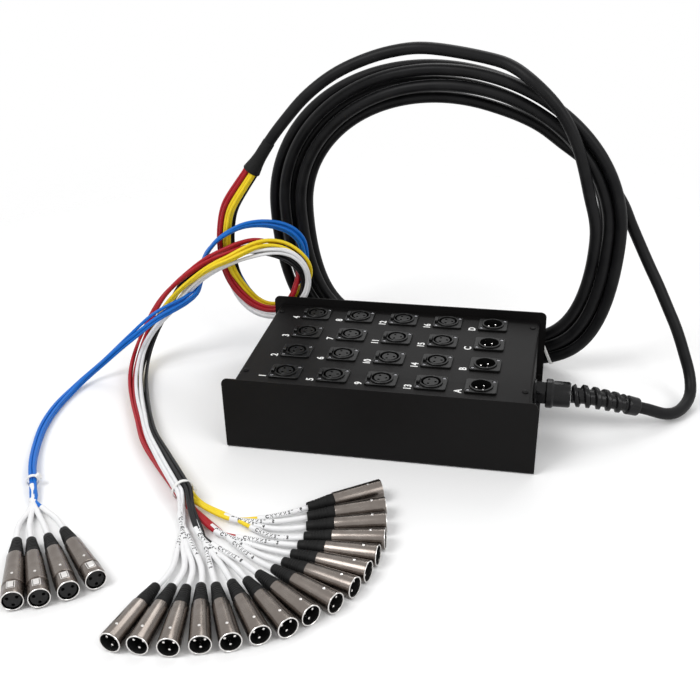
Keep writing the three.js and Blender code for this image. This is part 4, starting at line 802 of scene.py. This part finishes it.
plug_kinds = {"send": ("male_plug", male_metal, male_black),
              "return": ("female_plug", female_metal, female_black)}
for name, (cord, line, over, place) in tail_cords.items():
    group, mark = name.split("_")
    kind, metal, black = plug_kinds[group]
    plug = [put(f"plug_{name}_metal", metal, place, replaced=[f"{kind}_{mark}"]),
            put(f"plug_{name}_black", black, place, replaced=[f"{kind}_{mark}"])]
    declared_length(line)
for letter in FEMALE_PLUGS:
    finished(f"plug_latch_{letter}", bright)


# Ties
# White nylon straps pulled tight, each with its square head: one round the sends, one round the returns,
# and one round the turns of the coil.
TIE_WIDTH, TIE_HEAD = 0.0032, (0.0028, 0.0026)
SEND_TIE_NEAR, RETURN_TIE_NEAR = (-0.163, -0.194, 0.0117), (-0.313, -0.198, 0.0067)
SEND_TIE_RADIUS, RETURN_TIE_RADIUS, COIL_TIE_ANGLE = 0.0094, 0.0053, 297
tie_nylon = Finish("tie_nylon", Base_Color=(0.82, 0.82, 0.80, 1), Roughness=0.35).uneven(400, 2, 0.28, 0.18)


def tie(name, place, outline, high, replaced=()):
    """A strap round a bundle, from the outline at a distance out of it, with its square head at a height."""
    loops = []
    for along, out in ((-0.5, 0.0), (-0.5, 0.0009), (-0.4, 0.0011), (0.4, 0.0011), (0.5, 0.0009), (0.5, 0.0)):
        loop = outline(out)
        loops.append(np.column_stack([np.full(len(loop), along * TIE_WIDTH), loop]))
    strap = Shape().skin(loops + [loops[0]])
    strap.skin([rectangle(0, TIE_HEAD[0] * share, TIE_HEAD[1] * share, high + out)
                for share, out in ((1, -0.0002), (1, 0.003), (0.85, 0.0034))], 0, (True, True))
    return put(name, strap.mesh(name, [tie_nylon]), place, replaced=replaced)


def round_tie(name, bundle, near, radius, head_turn, node):
    """A tie round a bundle of tails, at the point of its line nearest to a place."""
    spot = int(np.argmin(np.linalg.norm(bundle.middle - np.array(near), axis=1)))
    ahead = unit(np.gradient(bundle.middle, axis=0)[spot])
    place = (axes_at(bundle.middle[spot], ahead, bundle.sides[spot], bundle.ups[spot])
             @ Matrix.Rotation(math.radians(head_turn), 4, "X"))
    tie(name, place, lambda out: circle(radius + out, 0.0, 48)[:, 1:], radius, [node])


def coil_tie(name, angle):
    """A tie round all the coil's turns at an angle, with its head behind."""
    turns = [coil_point(angle + 360 * k) for k in range(COIL_TURNS)]
    front = 3
    ahead = unit(coil_point(angle + 360 * front + 1) - turns[front])
    behind = turns[0] - turns[front]
    behind = unit(behind - ahead * behind.dot(ahead))
    across = np.cross(behind, ahead)
    middle = (turns[0] + turns[1]) / 2
    spots = np.array([[(t - middle).dot(across), (t - middle).dot(behind)] for t in turns])
    reach = CABLE_DIAMETER / 2 + 0.0004

    def outline(out):
        """The taut line round the turns' sections."""
        ways = circle(1.0, 0.0, 96)[:, 1:]
        return np.array([spots[int(np.argmax(spots @ way))] + (reach + out) * way for way in ways])

    tie(name, axes_at(middle, ahead, across, behind), outline, float(outline(0.0)[:, 1].max()))


round_tie("send_tie", sends, SEND_TIE_NEAR, SEND_TIE_RADIUS, 110, "tie_send")
round_tie("return_tie", returns, RETURN_TIE_NEAR, RETURN_TIE_RADIUS, 60, "tie_return")
coil_tie("coil_tie", COIL_TIE_ANGLE)


# Box
# A folded steel pan, open at both ends, that stands up past the panel as a lip at the front and the rear,
# and a folded cover that carries the sockets. Both are powder coated in fine black.
paint = Finish("powder_coat", Base_Color=(0.004, 0.004, 0.004, 1), Roughness=0.5, Specular_IOR_Level=0.12)
texture = paint.noise(1500, 3)
cloud = paint.noise(14, 3)
paint.feed("Base Color", paint.mix(cloud, (0.0032, 0.0030, 0.0030, 1), (0.0055, 0.0050, 0.0050, 1)))
paint.feed("Roughness", 0.42 + cloud * 0.12 + texture * 0.08)
paint.bump(texture, 0.00006, 0.5)
pan = finished("base_pan", paint)
edge = pan.modifiers.new("edges", "BEVEL")
edge.width, edge.segments, edge.limit_method, edge.angle_limit = 0.0004, 2, "ANGLE", math.radians(30)

PANEL_TOP = 0.068
PITCH_ACROSS, PITCH_BACK = 0.0487, 0.0449
socket_spots = [(-0.0007 + PITCH_ACROSS * (column - 2), 0.009 + PITCH_BACK * (row - 1.5))
                for column in range(5) for row in range(4)]
SOCKET_HOLE, GLAND_HOLE = 0.0114, 0.0103
COVER_END, COVER_HALF, COVER_BEND, COVER_LOW, SHEET = GLAND_MIDDLE[0], 0.0962, 0.003, 0.003, 0.0015
COVER_SCREWS = [(x, y) for y in (-0.060, 0.078) for x in (-0.139, 0.139)]
cover = Shape()
flat = COVER_END - COVER_BEND
arc = [(flat + COVER_BEND * math.sin(t), PANEL_TOP - COVER_BEND + COVER_BEND * math.cos(t))
       for t in np.linspace(0, math.pi / 2, 9)]
cover.plate([rectangle(0, flat, COVER_HALF, PANEL_TOP)]
            + [rim((x, y, PANEL_TOP), SOCKET_HOLE, 32, "Z") for x, y in socket_spots])
for side in (-1, 1):
    for (x1, z1), (x2, z2) in zip(arc, arc[1:]):
        base = len(cover.verts)
        cover.verts += [(side * x1, -COVER_HALF, z1), (side * x1, COVER_HALF, z1),
                        (side * x2, COVER_HALF, z2), (side * x2, -COVER_HALF, z2)]
        cover.face(range(base, base + 4))
    x, top = side * COVER_END, PANEL_TOP - COVER_BEND
    wall = [(x, -COVER_HALF, top), (x, COVER_HALF, top), (x, COVER_HALF, COVER_LOW), (x, -COVER_HALF, COVER_LOW)]
    cover.plate([wall] + ([rim(GLAND_MIDDLE, GLAND_HOLE, 32)] if side > 0 else []))
for x, y in COVER_SCREWS:
    cover.turn([(0.0, 0.0031), (0.0006, 0.0031), (0.0013, 0.0025), (0.0017, 0.0014), (0.0019, 0.0)], 0, 24,
               upright(x, y, PANEL_TOP))
cover_piece = put("cover_sheet", cover.mesh("cover_sheet", [paint], 20), replaced=["top_cover"])
thick = cover_piece.modifiers.new("sheet", "SOLIDIFY")
thick.thickness, thick.offset = SHEET, -1
even = cover_piece.modifiers.new("flats", "WEIGHTED_NORMAL")
even.keep_sharp = True


# Panel sockets
# Sixteen female sockets with release tabs, and four male sockets in the right-hand column: black glass-filled
# nylon flanges screwed to the cover.
socket_plastic = Finish("socket_plastic", Base_Color=(0.004, 0.004, 0.004, 1), Roughness=0.3,
                        Specular_IOR_Level=0.2).uneven(700, 3, 0.24, 0.2, bump=(0.00005, 0.35))
screw_steel = Finish("black_screws", Base_Color=(0.20, 0.20, 0.21, 1), Metallic=1.0, Roughness=0.3)
screw_steel.uneven(800, 2, 0.22, 0.2)
SCREWS = ((-0.012, -0.0095), (0.012, 0.0095))
BORE_RADIUS, BORE_DEPTH, INSERT_RADIUS = 0.0097, 0.0096, 0.0077
FLANGE_TOP = 0.002
SOCKET_MARKS = [str(i + 1) for i in range(16)] + list("ABCD")


def boss_loop(radius, z, flat=1.0):
    """A circle round Z, with a flat toward the release tab where one comes nearer than the circle."""
    turns = turns_of(64)
    out = np.minimum(radius, flat / np.maximum(-np.cos(turns), 1e-6))
    return np.column_stack([out * np.cos(turns), out * np.sin(turns), np.full(len(turns), z)])


def flange_loop(length, width, cut, z):
    """A rectangle round Z with rounded corners."""
    points = []
    for k, (sx, sy) in enumerate(((1, 1), (-1, 1), (-1, -1), (1, -1))):
        for t in np.radians(90 * k + np.linspace(0, 90, 5)):
            points.append((sx * (length / 2 - cut) + cut * math.cos(t),
                           sy * (width / 2 - cut) + cut * math.sin(t), z))
    return np.array(points)


def panel_socket(name, female):
    """A socket standing on its panel at z = 0."""
    shape = Shape()
    boss_flat = 0.0101 if female else 1.0
    top_edge = flange_loop(0.0302, 0.0252, 0.0024, FLANGE_TOP)
    shape.skin([flange_loop(0.031, 0.026, 0.0026, 0.0), flange_loop(0.031, 0.026, 0.0026, 0.0016), top_edge])
    wells = [rim((x, y, FLANGE_TOP), 0.0023, 20, "Z") for x, y in SCREWS]
    foot = boss_loop(0.0117, FLANGE_TOP, boss_flat)
    slots = [rectangle(-0.0123, 0.0018, 0.0045, FLANGE_TOP)] if female else []
    shape.plate([top_edge, foot] + wells + slots)
    for slot in slots:
        shape.skin([slot, slot - np.array([0, 0, 0.008])])
    for (x, y), well in zip(SCREWS, wells):
        shape.skin([well, rim((x, y, 0.0009), 0.0019, 20, "Z")], 0, (False, True))
        shape.turn([(0.0, 0.0), (0.0, 0.00185), (0.0007, 0.00180), (0.0010, 0.0013), (0.0011, 0.0)], 1, 20,
                   upright(x, y, 0.0009))
    bore_floor = boss_loop(BORE_RADIUS, -BORE_DEPTH)
    shape.skin([foot, boss_loop(0.0117, 0.0030, boss_flat), boss_loop(0.0113, 0.0034, boss_flat - 0.0003),
                boss_loop(0.0100, 0.0034), boss_loop(BORE_RADIUS, 0.0031), bore_floor])
    if female:
        insert_top = boss_loop(0.0073, 0.0028)
        shape.skin([bore_floor, boss_loop(INSERT_RADIUS, -BORE_DEPTH), boss_loop(INSERT_RADIUS, 0.0024),
                    insert_top])
        holes = [rim((x, y, 0.0028), 0.00135, 16, "Z") for x, y in contacts(0)]
        shape.plate([insert_top] + holes)
        for hole in holes:
            shape.skin([hole, hole - np.array([0, 0, CONTACT_HOLE_DEPTH])], 0, (False, True))
    else:
        shape.plate([bore_floor])
        for x, y in contacts(60):
            shape.turn([(0.0, 0.0012), (0.0090, 0.0012), (0.0097, 0.0009), (0.0100, 0.0)], 2, 16,
                       upright(x, y, -BORE_DEPTH))
    return shape.mesh(name, [socket_plastic, screw_steel, bright], 30)


female_socket = panel_socket("female_socket", True)
male_socket = panel_socket("male_socket", False)
for mark, (x, y) in zip(SOCKET_MARKS, socket_spots):
    if mark.isdigit():
        put(f"socket_{mark.zfill(2)}", female_socket, Matrix.Translation((x, y, PANEL_TOP)),
            replaced=["top_cover"])
        finished(f"latch_tab_{mark.zfill(2)}", socket_plastic)
    else:
        put(f"socket_{mark}", male_socket, Matrix.Translation((x, y, PANEL_TOP + GAP)),
            replaced=[f"receptacle_{mark}"])


# Panel legends
# Numbers 1 to 16 and letters A to D screened in white beside the sockets, to be read from the right side.
LEGEND_PLACE, LEGEND_LIFT = (-0.0212, -0.0097), 0.00006
LEGEND_SIZE, LEGEND_WEIGHT = 0.0102, 0.00027
ink = Finish("legend_ink", Base_Color=(0.85, 0.85, 0.84, 1), Roughness=0.5).uneven(900, 2, 0.42, 0.2)
legend = Shape()
for mark, (x, y) in zip(SOCKET_MARKS, socket_spots):
    lettered(legend, mark, LEGEND_SIZE, LEGEND_WEIGHT, lambda u, v, w: (
        x + LEGEND_PLACE[0] - v, y + LEGEND_PLACE[1] + u, PANEL_TOP + LEGEND_LIFT + w))
put("panel_legends", legend.mesh("panel_legends", [ink]))


# Floor and light
# A pale floor that keeps the shadow, and soft studio lights.
FLOOR_HALF, FLOOR_Z = 3, -0.0004
floor_finish = Finish("floor", Roughness=0.55, Specular_IOR_Level=0.3).uneven(6, 2, 0.5, 0.1)
to_camera = floor_finish.node("ShaderNodeLightPath", {}, {}, "Is Camera Ray")
floor_finish.feed("Base Color", floor_finish.mix(to_camera, (0.80, 0.80, 0.80, 1), (0.95, 0.95, 0.95, 1)))
away = floor_finish.node("ShaderNodeVectorMath", {"operation": "LENGTH"}, {0: floor_finish.place()}, "Value")
floor_finish.feed("Alpha", 1 - away.above(0.80, 0.34))
floor_mesh = bpy.data.meshes.new("floor")
floor_mesh.from_pydata(rectangle(0, FLOOR_HALF, FLOOR_HALF, FLOOR_Z).tolist(), [], [(0, 1, 2, 3)])
floor_mesh.materials.append(floor_finish.material)
floor = added("floor", floor_mesh)
floor.location = (-0.03, -0.12, 0)
world = bpy.data.worlds.new("studio")
scene.world = world
world.use_nodes = True
studio = Nodes(world.node_tree)
studio.tree.nodes.clear()
camera_ray, through_ray, glossy_ray = (studio.node("ShaderNodeLightPath", {}, {}, f"Is {kind} Ray")
                                       for kind in ("Camera", "Transmission", "Glossy"))
seen = studio.node("ShaderNodeMath", {"operation": "ADD", "use_clamp": True}, {0: camera_ray, 1: through_ray})
seen = studio.node("ShaderNodeMath", {"operation": "MAXIMUM"}, {0: seen, 1: glossy_ray})
ambient, shown = (studio.node("ShaderNodeBackground", {}, {"Color": (1, 1, 1, 1), "Strength": strength})
                  for strength in (0.55, 1.0))
both = studio.node("ShaderNodeMixShader", {}, {0: seen, 1: ambient, 2: shown})
world_output = studio.tree.nodes.new("ShaderNodeOutputWorld")
studio.tree.links.new(both.socket, world_output.inputs["Surface"])
for name, place, aim, width, height, power in (
        ("key", (-0.9, -0.9, 1.6), (-0.05, 0, 0.05), 0.9, 0.9, 18),
        ("fill", (1.2, -0.8, 1.1), (0, 0, 0.08), 1.0, 0.8, 9),
        ("back", (0.2, 1.3, 1.5), (0, 0.05, 0.1), 1.4, 0.6, 10)):
    light = bpy.data.lights.new(name, "AREA")
    light.shape, light.size, light.size_y, light.energy = "RECTANGLE", width, height, power
    lamp = added(name, light)
    lamp.location = place
    lamp.rotation_euler = (Vector(aim) - Vector(place)).to_track_quat("-Z", "Y").to_euler()
